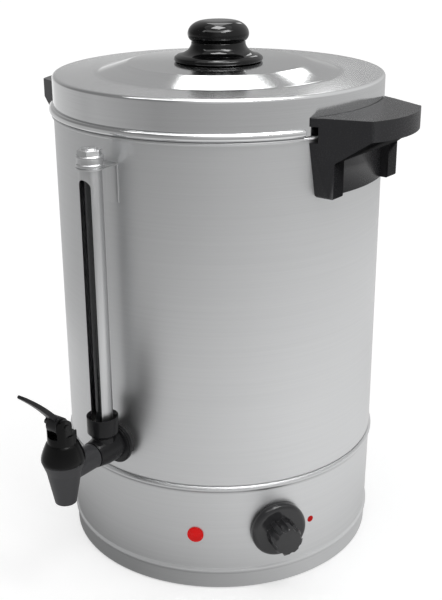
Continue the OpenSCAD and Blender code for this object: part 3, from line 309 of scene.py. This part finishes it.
def cast_ceramic(name, colour):
    """Pressed and fired body of the terminal block, grainy and matt."""
    finish = Surface(name)
    point = finish.point()
    grain = finish.noise(point, 1400.0, 3.0, 0.7)
    finish.set(
        base_color=finish.blend(finish.noise(point, 60.0), tone(colour, 0.85), tone(colour, 1.05)),
        roughness=0.62 + (grain - 0.5) * 0.2,
        normal=finish.bump(grain, 0.3, 0.00008))


def soft_rubber(name, colour, roughness=0.72):
    """Rubber or silicone with a dusty, finely rough skin."""
    finish = Surface(name)
    point = finish.point()
    skin = finish.noise(point, 1100.0, 3.0, 0.7)
    finish.set(
        base_color=finish.blend(finish.noise(point, 45.0), tone(colour, 0.8), tone(colour, 1.35)),
        roughness=roughness + (skin - 0.5) * 0.16,
        normal=finish.bump(skin, 0.35, 0.00006))


def tarnished(name, colour, dark, roughness):
    """Bare brass, copper or heated sheath, patchy with tarnish."""
    finish = Surface(name, metallic=1.0)
    point = finish.point()
    patch = finish.ramp(finish.noise(point, 70.0, 4.0, 0.6), 0.35, 0.7)
    grain = finish.noise(point, 2400.0)
    finish.set(
        base_color=finish.blend(patch, colour, dark),
        roughness=roughness + patch * 0.15 + (grain - 0.5) * 0.12,
        normal=finish.bump(grain, 0.15, 0.00004))


def gauge_tube_glass(name):
    """A see-through tube tinted dark grey as painted shade for the guard's dark inside, with a
    thin film of scale that is cloudier in stripes along it.
    """
    finish = Surface(name, transmission_weight=0.85, ior=1.47)
    x, y, z = finish.split(finish.point())
    film = finish.noise(finish.join(x * 60, y * 60, z * 9), 1.0, 3.0)
    finish.set(
        # The two dark greys are painted shade for the dark inside of the guard.
        base_color=finish.blend(film, (0.05, 0.052, 0.056), (0.12, 0.125, 0.13)),
        roughness=0.04 + film * 0.06)


def lamp_plastic(name, colour):
    """Clear red plastic over a small lamp, with a fine prismatic back."""
    finish = Surface(name, specular=0.15, coat_weight=0.12, coat_roughness=0.05,
                     emission_strength=0.10)
    point = finish.point()
    prisms = finish.node("TexVoronoi", {"feature": "F1"}, {"Vector": point, "Scale": 700.0})
    depth = finish.noise(point, 120.0)
    finish.set(
        base_color=finish.blend(depth, tone(colour, 0.76), tone(colour, 0.92)),
        roughness=0.22 + prisms * 0.1,
        emission_color=finish.blend(depth, (0.9, 0.0, 0.002), (1.0, 0.004, 0.004)),
        normal=finish.bump(prisms, 0.05, 0.00008))


def printed_ink(name, colour):
    """Flat printed ink, slightly uneven."""
    finish = Surface(name, specular=0.1)
    grain = finish.noise(finish.point(), 1800.0, 3.0)
    finish.set(
        base_color=finish.blend(grain, tone(colour, 0.68), tone(colour, 0.8)),
        roughness=0.42 + (grain - 0.5) * 0.2,
        normal=finish.bump(grain, 0.1, 0.00003))


# ---- Shaping --------------------------------------------------------------------


def chain(points, closed):
    """A bmesh with a few vertices in the XZ plane, in millimetres, joined in a row.
    A third number rounds that corner."""
    mesh = bmesh.new()
    verts = [mesh.verts.new((p[0], 0, p[1])) for p in points]
    for pair in zip(verts, verts[1:] + verts[:1] if closed else verts[1:]):
        mesh.edges.new(pair)
    for vert, point in zip(verts, points):
        if len(point) > 2:
            one, two = [(e.other_vert(vert).co - vert.co).normalized() for e in vert.link_edges]
            turn = math.pi - one.angle(two)
            segments = max(2, min(10, round(math.degrees(turn) / 12)))
            bmesh.ops.bevel(
                mesh, geom=[vert], offset=point[2] * math.tan(turn / 2), offset_type="OFFSET",
                segments=segments, profile=0.5, affect="VERTICES", clamp_overlap=False,
                material=-1)
    return mesh


def settle(mesh):
    """Closes seams and poles, and then turns the faces outwards."""
    bmesh.ops.remove_doubles(mesh, verts=mesh.verts, dist=1e-4)
    bmesh.ops.recalc_face_normals(mesh, faces=mesh.faces)
    return mesh


def turned(points, closed=False, start=0.0, sweep=360.0, steps=192):
    """An outline turned about Z, all the way round or over an arc with capped ends."""
    mesh = chain(points, closed)
    bmesh.ops.rotate(mesh, verts=mesh.verts, cent=(0, 0, 0),
                     matrix=Matrix.Rotation(math.radians(start), 3, "Z"))
    bmesh.ops.spin(mesh, geom=mesh.verts[:] + mesh.edges[:], cent=(0, 0, 0), axis=(0, 0, 1),
                   dvec=(0, 0, 0), angle=math.radians(sweep), steps=steps,
                   use_merge=sweep >= 360, use_normal_flip=False, use_duplicate=False)
    settle(mesh)
    if sweep < 360:
        bmesh.ops.holes_fill(mesh, edges=[e for e in mesh.edges if e.is_boundary], sides=0)
    return settle(mesh)


def merged(node):
    """A copy of a CAD node in millimetres, with its flat faces whole again."""
    mesh = bmesh.new()
    mesh.from_mesh(NODES[node].data)
    bmesh.ops.scale(mesh, vec=(1 / MM,) * 3, verts=mesh.verts)
    bmesh.ops.remove_doubles(mesh, verts=mesh.verts, dist=0.002)
    bmesh.ops.dissolve_limit(mesh, angle_limit=math.radians(0.5), verts=mesh.verts,
                             edges=mesh.edges, use_dissolve_boundaries=False, delimit=set())
    return mesh


def soften(mesh, width, segments=3, least=28.0, beyond=0.0):
    """Rounds the edges that turn by more than least degrees and lie beyond a radius."""
    sharp = [e for e in mesh.edges if e.is_manifold and e.calc_face_angle(0) > math.radians(least)
             and (e.verts[0].co + e.verts[1].co).xy.length / 2 >= beyond]
    bmesh.ops.bevel(mesh, geom=sharp, offset=width, offset_type="OFFSET", segments=segments,
                    profile=0.5, affect="EDGES", clamp_overlap=True, material=-1)
    return mesh


def put(mesh, matrix):
    """Moves a shape to its place."""
    bmesh.ops.transform(mesh, matrix=matrix, verts=mesh.verts)
    return mesh


def lifted(x, y, z):
    return Matrix.Translation((x, y, z))


def aimed(degrees, radius, height):
    """Turns +Z outwards from the urn's side, at an angle from the tap."""
    return (Matrix.Rotation(math.radians(degrees), 4, "Z") @ lifted(0, -radius, height)
            @ Matrix.Rotation(math.radians(90), 4, "X"))


def piece(name, parts, finish, body, node=None, crease=30.0):
    """Joins shaped parts into a piece that rides on a body and stands for a CAD node.
    A piece given no body is left without a parent."""
    whole = bpy.data.meshes.new(name)
    joined = bmesh.new()
    for part in parts:
        part.to_mesh(whole)
        part.free()
        joined.from_mesh(whole)
    bmesh.ops.scale(joined, vec=(MM,) * 3, verts=joined.verts)
    joined.to_mesh(whole)
    joined.free()
    whole.shade_smooth()
    whole.set_sharp_from_angle(angle=math.radians(crease))
    whole.materials.append(bpy.data.materials[finish])
    made = bpy.data.objects.new(name, whole)
    bpy.context.scene.collection.objects.link(made)
    if body:
        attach(made, body)
    if node:
        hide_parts(node)
    return made


def rounded(name, node, finish, width, segments=3, body="urn", slot=None, **edges):
    """A CAD node's own shape with its edges rounded."""
    piece(name, [soften(merged(node), width, segments, **edges)], finish, body, node)


def arc(centre, radii, first, last, count):
    """Points of an elliptic arc in the XZ plane."""
    angles = [math.radians(first + (last - first) * i / count) for i in range(count + 1)]
    return [(centre[0] + radii[0] * math.cos(angle), centre[1] + radii[1] * math.sin(angle))
            for angle in angles]


def rolled_bead(radius, height, out):
    """Three corners of a bead rolled into sheet: its feet are rounded in and its crest out.
    The middle corner stands past the crest, and its rounding brings it back."""
    past = 0.4 * out
    tip = out + past
    crest = past / (1 / math.cos(math.atan2(tip, BEAD_HALF)) - 1)
    return [(radius, height - BEAD_HALF, 1.0), (radius + tip, height, crest),
            (radius, height + BEAD_HALF, 1.0)]


# ---- Settings -------------------------------------------------------------------


class UrnFinishSettings(bpy.types.PropertyGroup):
    """Colours and gloss"""
    steel_colour: FloatVectorProperty(
        name="Steel", description="Reflected colour of the brushed steel", subtype="COLOR",
        size=3, min=0, max=1, default=(0.66, 0.665, 0.67))
    steel_roughness: FloatProperty(
        name="Steel roughness", description="How matt the brushed steel is", subtype="FACTOR",
        min=0, max=1, default=0.42)
    plastic_colour: FloatVectorProperty(
        name="Plastic", description="Colour of the black mouldings", subtype="COLOR", size=3,
        min=0, max=1, default=(0.014, 0.014, 0.015))
    lamp_colour: FloatVectorProperty(
        name="Lamp", description="Colour of the lamp's lens and of the index mark",
        subtype="COLOR", size=3, min=0, max=1, default=(0.72, 0.004, 0.004))


class UrnShapeSettings(bpy.types.PropertyGroup):
    """Sizes that the scene adds to the frame"""
    turning_steps: IntProperty(
        name="Steps round", description="Facets round the tank, the base and the lid",
        min=48, max=512, default=192)
    joint_gap: FloatProperty(
        name="Joint gap", description="Height of the dark line between the tank and the base",
        subtype="DISTANCE", unit="LENGTH", min=0, max=0.003, default=0.0012)
    handle_round: FloatProperty(
        name="Handle rounding", description="Radius of the handles' moulded edges",
        subtype="DISTANCE", unit="LENGTH", min=0.0002, max=0.004, default=0.0022)
    index_mark_size: FloatProperty(
        name="Index mark", description="Diameter of the printed mark beside the control knob",
        subtype="DISTANCE", unit="LENGTH", min=0.002, max=0.02, default=0.0064)


class UrnStageSettings(bpy.types.PropertyGroup):
    """Floor, lights and lens"""
    floor_colour: FloatVectorProperty(
        name="Floor", description="Colour of the pale floor", subtype="COLOR", size=3, min=0,
        max=1, default=(0.8, 0.8, 0.8))
    key_power: FloatProperty(
        name="Key light", description="Power of the light at the right", unit="POWER",
        min=0, max=200, default=0.9)
    fill_power: FloatProperty(
        name="Fill light", description="Power of the weaker light at the left", unit="POWER",
        min=0, max=200, default=0.3)
    top_power: FloatProperty(
        name="Top light", description="Power of the light overhead, seen in highlights only",
        unit="POWER", min=0, max=200, default=9.0)
    focal_length: FloatProperty(
        name="Lens", description="Focal length of the camera in millimetres",
        unit="CAMERA", min=10, max=300, default=64.34)


# ---- Pieces ---------------------------------------------------------------------


class URN_OT_finishes(bpy.types.Operator):
    """Makes every finish and gives each CAD node the one that its record names"""
    bl_idname = "urn.finishes"
    bl_label = "Make the finishes"

    def execute(self, context):
        look = context.scene.urn_finish
        steel, plastic = tuple(look.steel_colour), tuple(look.plastic_colour)
        lamp, rough = tuple(look.lamp_colour), look.steel_roughness
        turned_steel("body_steel", steel, rough, relief=0.18, seam=True)
        turned_steel("lid_steel", tone(steel, 1.10), rough * 0.26, 0.04, 0.30, ring=True)
        turned_steel("inner_steel", tone(steel, 0.95), rough * 1.1)
        drawn_steel("gauge_steel", tone(steel, 0.94), 0.36)
        drawn_steel("fastener_steel", tone(steel, 1.05), 0.28)
        drawn_steel("blackened_steel", tone(steel, 0.05), 0.40)
        drawn_steel("spring_steel", tone(steel, 0.85), 0.30, axis=0)
        tarnished("element_steel", (0.34, 0.32, 0.30), (0.16, 0.12, 0.10), 0.36)
        tarnished("copper", (0.78, 0.42, 0.28), (0.42, 0.22, 0.16), 0.30)
        tarnished("brass", (0.78, 0.60, 0.30), (0.44, 0.33, 0.16), 0.30)
        moulded_plastic("tap_plastic", tone(plastic, 0.9), 0.28, 0.2)
        moulded_plastic("bonnet_plastic", tone(plastic, 0.15), 0.20, 0.2)
        moulded_plastic("spout_plastic", tone(plastic, 3.0), 0.45)
        moulded_plastic("handle_plastic", tone(plastic, 1.7), 0.28, 0.14)
        moulded_plastic("knob_plastic", tone(plastic, 0.15), 0.06, 0.32, 300.0, 0.000006)
        moulded_plastic("dial_plastic", tone(plastic, 1.6), 0.13, 0.5)
        moulded_plastic("fitting_plastic", tone(plastic, 1.8), 0.50)
        cast_ceramic("ceramic", (0.82, 0.79, 0.72))
        soft_rubber("rubber", (0.030, 0.030, 0.031))
        soft_rubber("silicone", (0.30, 0.29, 0.28), 0.6)
        gauge_tube_glass("sight_glass")
        lamp_plastic("lamp_red", lamp)
        printed_ink("index_red", lamp)
        for part in frame["record"]["subparts"]:
            data = NODES[part["node"]].data
            data.materials.clear()
            data.materials.append(bpy.data.materials[part["material_slot"]])
        NODES["lever_pin"].data.materials[0] = bpy.data.materials["blackened_steel"]
        return {"FINISHED"}


class URN_OT_tank(bpy.types.Operator):
    """Turns the tank wall with its rolled rim"""
    bl_idname = "urn.tank"
    bl_label = "Tank wall"

    def execute(self, context):
        shape = context.scene.urn_shape
        low = TANK_FOOT + shape.joint_gap / MM / 2
        inside, rim, roll = TANK_RADIUS - 1, TANK_RADIUS + 2, 1.49
        wall = turned([
            (inside, low), (TANK_RADIUS, low, 0.4), (TANK_RADIUS, TANK_TOP - 3, 0.5),
            (rim, TANK_TOP - 3, roll), (rim, TANK_TOP, roll), (inside, TANK_TOP, roll)],
            closed=True, steps=shape.turning_steps)
        piece("tank_wall", [wall], "body_steel", "urn", "tank_shell")
        return {"FINISHED"}


class URN_OT_base(bpy.types.Operator):
    """Turns the base with its hem, two rolled beads and the collar inside the tank"""
    bl_idname = "urn.base"
    bl_label = "Base shell"

    def execute(self, context):
        shape = context.scene.urn_shape
        high = TANK_FOOT - shape.joint_gap / MM / 2
        low_bead = rolled_bead(148.92, 19, 1.5)
        top_bead = rolled_bead(TANK_RADIUS, 105.6, 2.0)[:2]
        inside = [
            (114, 7), (114, 8, 0.3), (142.7, 8), (142.7, 2, 0.3), (147.7, 2, 0.3),
            (147.9, 18, 1.0), (149, 102)]
        collar = [
            (147.95, 108), (147.95, 117), (148.95, 117, 0.3), (148.95, high, 0.3),
            (150.2, high, 0.8)]
        hem = [(148.7, 1, 0.8), (141.7, 1, 0.5), (141.7, 7, 0.3)]
        shell = turned([*inside, *collar, *top_bead[::-1], *low_bead[::-1], *hem],
                       closed=True, steps=shape.turning_steps)
        piece("base_wall", [shell], "body_steel", "urn", "base_shell")
        return {"FINISHED"}


class URN_OT_lid(bpy.types.Operator):
    """Turns the lid's sheet and its wired edge, which is left out beside the handles"""
    bl_idname = "urn.lid"
    bl_label = "Lid"

    def execute(self, context):
        steps = context.scene.urn_shape.turning_steps
        screw, raised, cone = 3.3, 82.3, 109
        outside = [
            (screw, LID_MIDDLE), (raised, LID_MIDDLE, 6), (cone, LID_FLAT, 6),
            (TANK_RADIUS, LID_FLAT, 3), (TANK_RADIUS, 419.4, 0.3), (149, 419.4, 0.3)]
        collar = [
            (149, 423.3), (148, 423.3), (148, 410.3, 0.4), (147, 410.3, 0.4), (147, 425.3)]
        inside = [
            (149, 425.3), (149, LID_FLAT - 1, 2), (cone, LID_FLAT - 1, 5),
            (raised, LID_MIDDLE - 1, 7)]
        sheet = turned([(screw, LID_MIDDLE - 1), *outside, *collar, *inside],
                       closed=True, steps=steps)
        wire = [
            (149.9, 419.3), (152, 419.3, 1.5), (154, 421.2, 2.4), (154, 426.2, 3.2),
            (149.9, 426.2)]
        edges = [soften(turned(wire, closed=True, start=start, sweep=128, steps=steps // 2),
                        0.6, least=60, beyond=150.3) for start in (26, 206)]
        piece("lid_sheet", [sheet, *edges], "lid_steel", "lid", "lid_shell")
        return {"FINISHED"}


class URN_OT_lid_knob(bpy.types.Operator):
    """Turns the glossy knob of the lid"""
    bl_idname = "urn.lid_knob"
    bl_label = "Lid knob"

    def execute(self, context):
        flange = arc((38.2, KNOB_FOOT + 2.4), (2.2, 2.4), -90, 60, 10)
        neck = arc((38.9, KNOB_FOOT + 16.7), (14.4, 10.7), 260, 180, 16)
        under = arc((20.2, KNOB_FOOT + 23.8), (7.5, 7.1), -62, -10, 8)
        crown = arc((12.2, KNOB_FOOT + 23.8), (15.5, 11.7), 0, 90, 20)
        knob = turned([(0, KNOB_FOOT), *flange, *neck, *under, *crown, (0, KNOB_FOOT + 35.5)],
                      steps=128)
        piece("lid_grip", [knob], "knob_plastic", "lid_lift", "lid_knob", crease=50)
        return {"FINISHED"}


class URN_OT_handles(bpy.types.Operator):
    """Rounds the edges of the two moulded handles"""
    bl_idname = "urn.handles"
    bl_label = "Handles"

    def execute(self, context):
        width = context.scene.urn_shape.handle_round / MM
        for side in ("right", "left"):
            rounded("grip_" + side, "handle_" + side, "handle_plastic", width, 4, least=20,
                    beyond=157)
        return {"FINISHED"}


class URN_OT_gauge(bpy.types.Operator):
    """Smooths the tee, the slotted guard, its cap and bracket, and the sight glass"""
    bl_idname = "urn.gauge"
    bl_label = "Sight gauge"

    def execute(self, context):
        rounded("gauge_socket", "gauge_tee", "tap_plastic", 0.5)
        rounded("guard_tube", "gauge_guard", "gauge_steel", 0.25, 2, least=50)
        rounded("guard_cap", "gauge_cap", "gauge_steel", 0.3, 2)
        rounded("guard_bracket", "gauge_bracket", "gauge_steel", 0.3, 2, least=40)
        bore, outside, low, high, melt = 4.6, 6, 155, 410, 0.5
        tube = turned([(bore, low, melt), (outside, low, melt), (outside, high, melt),
                       (bore, high, melt)], closed=True, steps=64)
        piece("glass_tube", [put(tube, lifted(0, -GAUGE_OUT, 0))], "sight_glass", "urn",
              "gauge_glass")
        return {"FINISHED"}


class URN_OT_tap(bpy.types.Operator):
    """Turns the tap's body, rounds its bonnet and its lever, and copies its spring with no body"""
    bl_idname = "urn.tap"
    bl_label = "Lever tap"

    def execute(self, context):
        body = turned([
            (7, 127), (7, 112.3, 0.6), (9.3, 112, 0.8), (15, 142.5, 12), (18.7, 152.5, 0.9),
            (12, 152.5, 0.2), (12, 160.5, 0.5), (10, 160.5, 0.5), (10, 131), (5, 131), (5, 127)],
            closed=True, steps=96)
        pipe = turned([
            (8, -11.5), (8, 0.6), (11.25, 0.6, 0.5), (11.25, 24, 4), (13.5, 32, 0.5), (6, 32),
            (6, -11.5)], closed=True, steps=96)
        parts = [put(body, lifted(0, -TAP_OUT, 0)), put(pipe, aimed(0, 187, TAP_LEVEL))]
        piece("tap_spout", parts, "spout_plastic", "urn", "tap_body")
        rounded("tap_bonnet_cap", "tap_bonnet", "bonnet_plastic", 0.7, slot="tap_plastic")
        rounded("tap_handle", "tap_lever", "tap_plastic", 0.7, body="lever")
        coil = piece("valve_coil", [merged("valve_spring")], "spring_steel", None, "valve_spring")
        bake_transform(coil)
        return {"FINISHED"}


class URN_OT_controls(bpy.types.Operator):
    """Makes the control knob, the lamp's lens with its bezel, and the printed index mark"""
    bl_idname = "urn.controls"
    bl_label = "Controls"

    def execute(self, context):
        mark = context.scene.urn_shape.index_mark_size / MM / 2
        rounded("control_grip", "control_knob", "dial_plastic", 0.6, body="control",
                slot="knob_plastic")
        dome = arc((0, -12), (14.5, 14.9), 62, 90, 8)
        lens = turned([(0, -18), (6, -18, 0.5), (6, 0), (7.5, 0), (7.5, 1.9, 0.6), *dome],
                      steps=64)
        piece("lamp_dome", [put(lens, aimed(28, 149.55, 58))], "lamp_red", "urn", "lamp_lens")
        dot = turned([(0, -0.3), (mark, -0.3), (mark, 0.06, 0.05), (0, 0.08)], steps=48)
        piece("index_mark", [put(dot, aimed(70.6, 149.41, 59))], "index_red", "urn")
        return {"FINISHED"}


# ---- Stage ----------------------------------------------------------------------


class URN_OT_stage(bpy.types.Operator):
    """Sets the pale floor, the soft lights, the white surroundings and the camera"""
    bl_idname = "urn.stage"
    bl_label = "Stage"

    def light(self, name, place, aim, size, power):
        lamp = bpy.data.lights.new(name, "AREA")
        lamp.shape = "RECTANGLE"
        lamp.size, lamp.size_y = size
        lamp.energy = power
        holder = bpy.data.objects.new(name, lamp)
        holder.location = place
        holder.rotation_euler = (Vector(aim) - Vector(place)).to_track_quat("-Z", "Y").to_euler()
        bpy.context.scene.collection.objects.link(holder)
        holder.visible_camera = False
        return holder

    def set_up(self, name, mesh, finish):
        data = bpy.data.meshes.new(name)
        mesh.to_mesh(data)
        mesh.free()
        data.materials.append(finish.material)
        made = bpy.data.objects.new(name, data)
        bpy.context.scene.collection.objects.link(made)
        return made

    def round_share(self, finish, x, y):
        """How far round the urn a point lies: 0.5 towards the camera, 0 and 1 behind."""
        across = x * math.cos(EYE_AROUND) + y * math.sin(EYE_AROUND)
        along = x * math.sin(EYE_AROUND) - y * math.cos(EYE_AROUND)
        return finish.angle(across, along) / math.tau + 0.5

    def glow(self, finish, strength):
        return finish.node("Emission", inputs={"Strength": strength})

    def floor(self, colour):
        """A pale matt floor. Reflections see it as graded paper, shaded at the urn's foot."""
        finish = Finish("floor")
        x, y, _ = finish.split(finish.point())
        matt = finish.node("BsdfDiffuse", inputs={"Color": colour})
        lift = self.glow(finish, finish.ray("Camera", "Transmission") * 0.40)
        white = finish.node("AddShader", inputs={0: matt, 1: lift})
        share = self.round_share(finish, x, y)
        near = 1 - finish.ramp((x * x + y * y) ** 0.5, 0.17, 0.27)
        shade = near * finish.curve(share, FOOT_SHADE)
        gain = 2 * finish.curve(share, FLOOR_GAIN)
        mirrored = self.glow(finish, finish.curve(share, PAPER) * gain * (1 - shade))
        finish.show(finish.node("MixShader", inputs={
            0: finish.ray("Glossy"), 1: white, 2: mirrored}))
        mesh = bmesh.new()
        bmesh.ops.create_grid(mesh, x_segments=1, y_segments=1, size=20)
        self.set_up("floor", mesh, finish)

    def tent(self):
        """A round tent of graded paper, which only reflections see. It carries a window of
        light in front, and two bright patches behind that the lid's cone mirrors."""
        finish = Finish("tent_paper")
        x, y, z = finish.split(finish.point())
        share = self.round_share(finish, x, y)
        fall = finish.curve(z, ((0.0, 0.0), (1.0, 0.46), (0.18, 0.16), (0.27, 0.40)))
        low = finish.curve(share, PAPER) * (1 - fall * finish.ramp(share, 0.28, 0.40)) * 1.12
        high = 2 * finish.curve(share, HIGH_PAPER)
        wide_patch = ((share < 0.034) + (share > 0.956)) * (z > 0.94)
        small_patch = (abs(share - 0.952) < 0.008) * (abs(z - 0.76) < 0.07)
        window = 20 * (abs(z - 1.28) < 0.22) * finish.curve(share, WINDOW)
        rise = finish.ramp(z, 0.42, 0.54)
        finish.show(self.glow(
            finish, low * (1 - rise) + high * rise + (wide_patch + small_patch) * 2.6 + window
            + (z > 1.5) * 0.6))
        mesh = bmesh.new()
        radius, height = 0.6, 2.2
        bmesh.ops.create_circle(mesh, segments=96, radius=radius)
        walls = bmesh.ops.extrude_edge_only(mesh, edges=mesh.edges[:])["geom"]
        bmesh.ops.translate(mesh, vec=(0, 0, height),
                            verts=[g for g in walls if isinstance(g, bmesh.types.BMVert)])
        tent = self.set_up("tent", mesh, finish)
        tent.visible_camera = tent.visible_diffuse = tent.visible_shadow = False

    def surroundings(self):
        """White to the camera and in reflections, and a little less as light."""
        world = bpy.data.worlds.new("white_room")
        bpy.context.scene.world = world
        world.use_nodes = True
        room = Shading(world.node_tree)
        shade = room.tree.nodes["Background"]
        seen = room.ray("Camera", "Glossy", "Transmission")
        room.feed(shade.inputs["Strength"], seen * 0.2 + 0.8)
        room.feed(shade.inputs["Color"], (1, 1, 1))

    def camera(self, lens):
        level = math.cos(EYE_DOWN)
        forward = Vector((math.sin(EYE_YAW) * level, math.cos(EYE_YAW) * level,
                          -math.sin(EYE_DOWN)))
        right = Vector((math.cos(EYE_YAW), -math.sin(EYE_YAW), 0))
        up = right.cross(forward)
        side = right * math.cos(EYE_ROLL) + up * math.sin(EYE_ROLL)
        top = up * math.cos(EYE_ROLL) - right * math.sin(EYE_ROLL)
        axes = Matrix((side, top, -forward)).transposed().to_4x4()
        eye = bpy.data.cameras.new("camera")
        eye.lens = lens
        eye.sensor_width = 36
        eye.clip_start, eye.clip_end = 0.02, 50
        holder = bpy.data.objects.new("camera", eye)
        holder.matrix_world = (Matrix.Translation(EYE)
                               @ Matrix.Rotation(EYE_AROUND, 4, "Z") @ axes)
        bpy.context.scene.collection.objects.link(holder)
        bpy.context.scene.camera = holder

    def execute(self, context):
        stage = context.scene.urn_stage
        context.scene.view_settings.view_transform = "Standard"
        self.floor(tuple(stage.floor_colour))
        self.surroundings()
        self.camera(stage.focal_length)
        self.tent()
        self.light("key", (0.50, -0.28, 0.98), (0, 0, 0.35), (0.20, 0.20), stage.key_power)
        self.light("fill", (-0.30, -0.50, 0.95), (0, 0, 0.30), (0.10, 0.30), stage.fill_power)
        top = self.light("top", (0, 0, 1.55), (0, 0, 0), (0.45, 0.45), stage.top_power)
        top.visible_diffuse = False
        return {"FINISHED"}


class URN_PT_panel(bpy.types.Panel):
    """Lists the urn's settings and its pieces"""
    bl_label = "Hot water urn"
    bl_idname = "URN_PT_panel"
    bl_space_type = "VIEW_3D"
    bl_region_type = "UI"
    bl_category = "Urn"

    def draw(self, context):
        for group in ("urn_finish", "urn_shape", "urn_stage"):
            box = self.layout.box()
            settings = getattr(context.scene, group)
            for key in settings.__annotations__:
                box.prop(settings, key)
        for operator in OPERATORS:
            self.layout.operator(operator.bl_idname)


OPERATORS = (
    URN_OT_finishes, URN_OT_tank, URN_OT_base, URN_OT_lid, URN_OT_lid_knob, URN_OT_handles,
    URN_OT_gauge, URN_OT_tap, URN_OT_controls, URN_OT_stage)
GROUPS = {"urn_finish": UrnFinishSettings, "urn_shape": UrnShapeSettings,
          "urn_stage": UrnStageSettings}
CLASSES = (*GROUPS.values(), *OPERATORS, URN_PT_panel)


def register():
    for cls in CLASSES:
        bpy.utils.register_class(cls)
    for name, group in GROUPS.items():
        setattr(bpy.types.Scene, name, PointerProperty(type=group))


def unregister():
    for name in GROUPS:
        delattr(bpy.types.Scene, name)
    for cls in reversed(CLASSES):
        bpy.utils.unregister_class(cls)


def main():
    register()
    for operator in OPERATORS:
        group, name = operator.bl_idname.split(".")
        getattr(getattr(bpy.ops, group), name)()


if __name__ == "__main__":
    main()
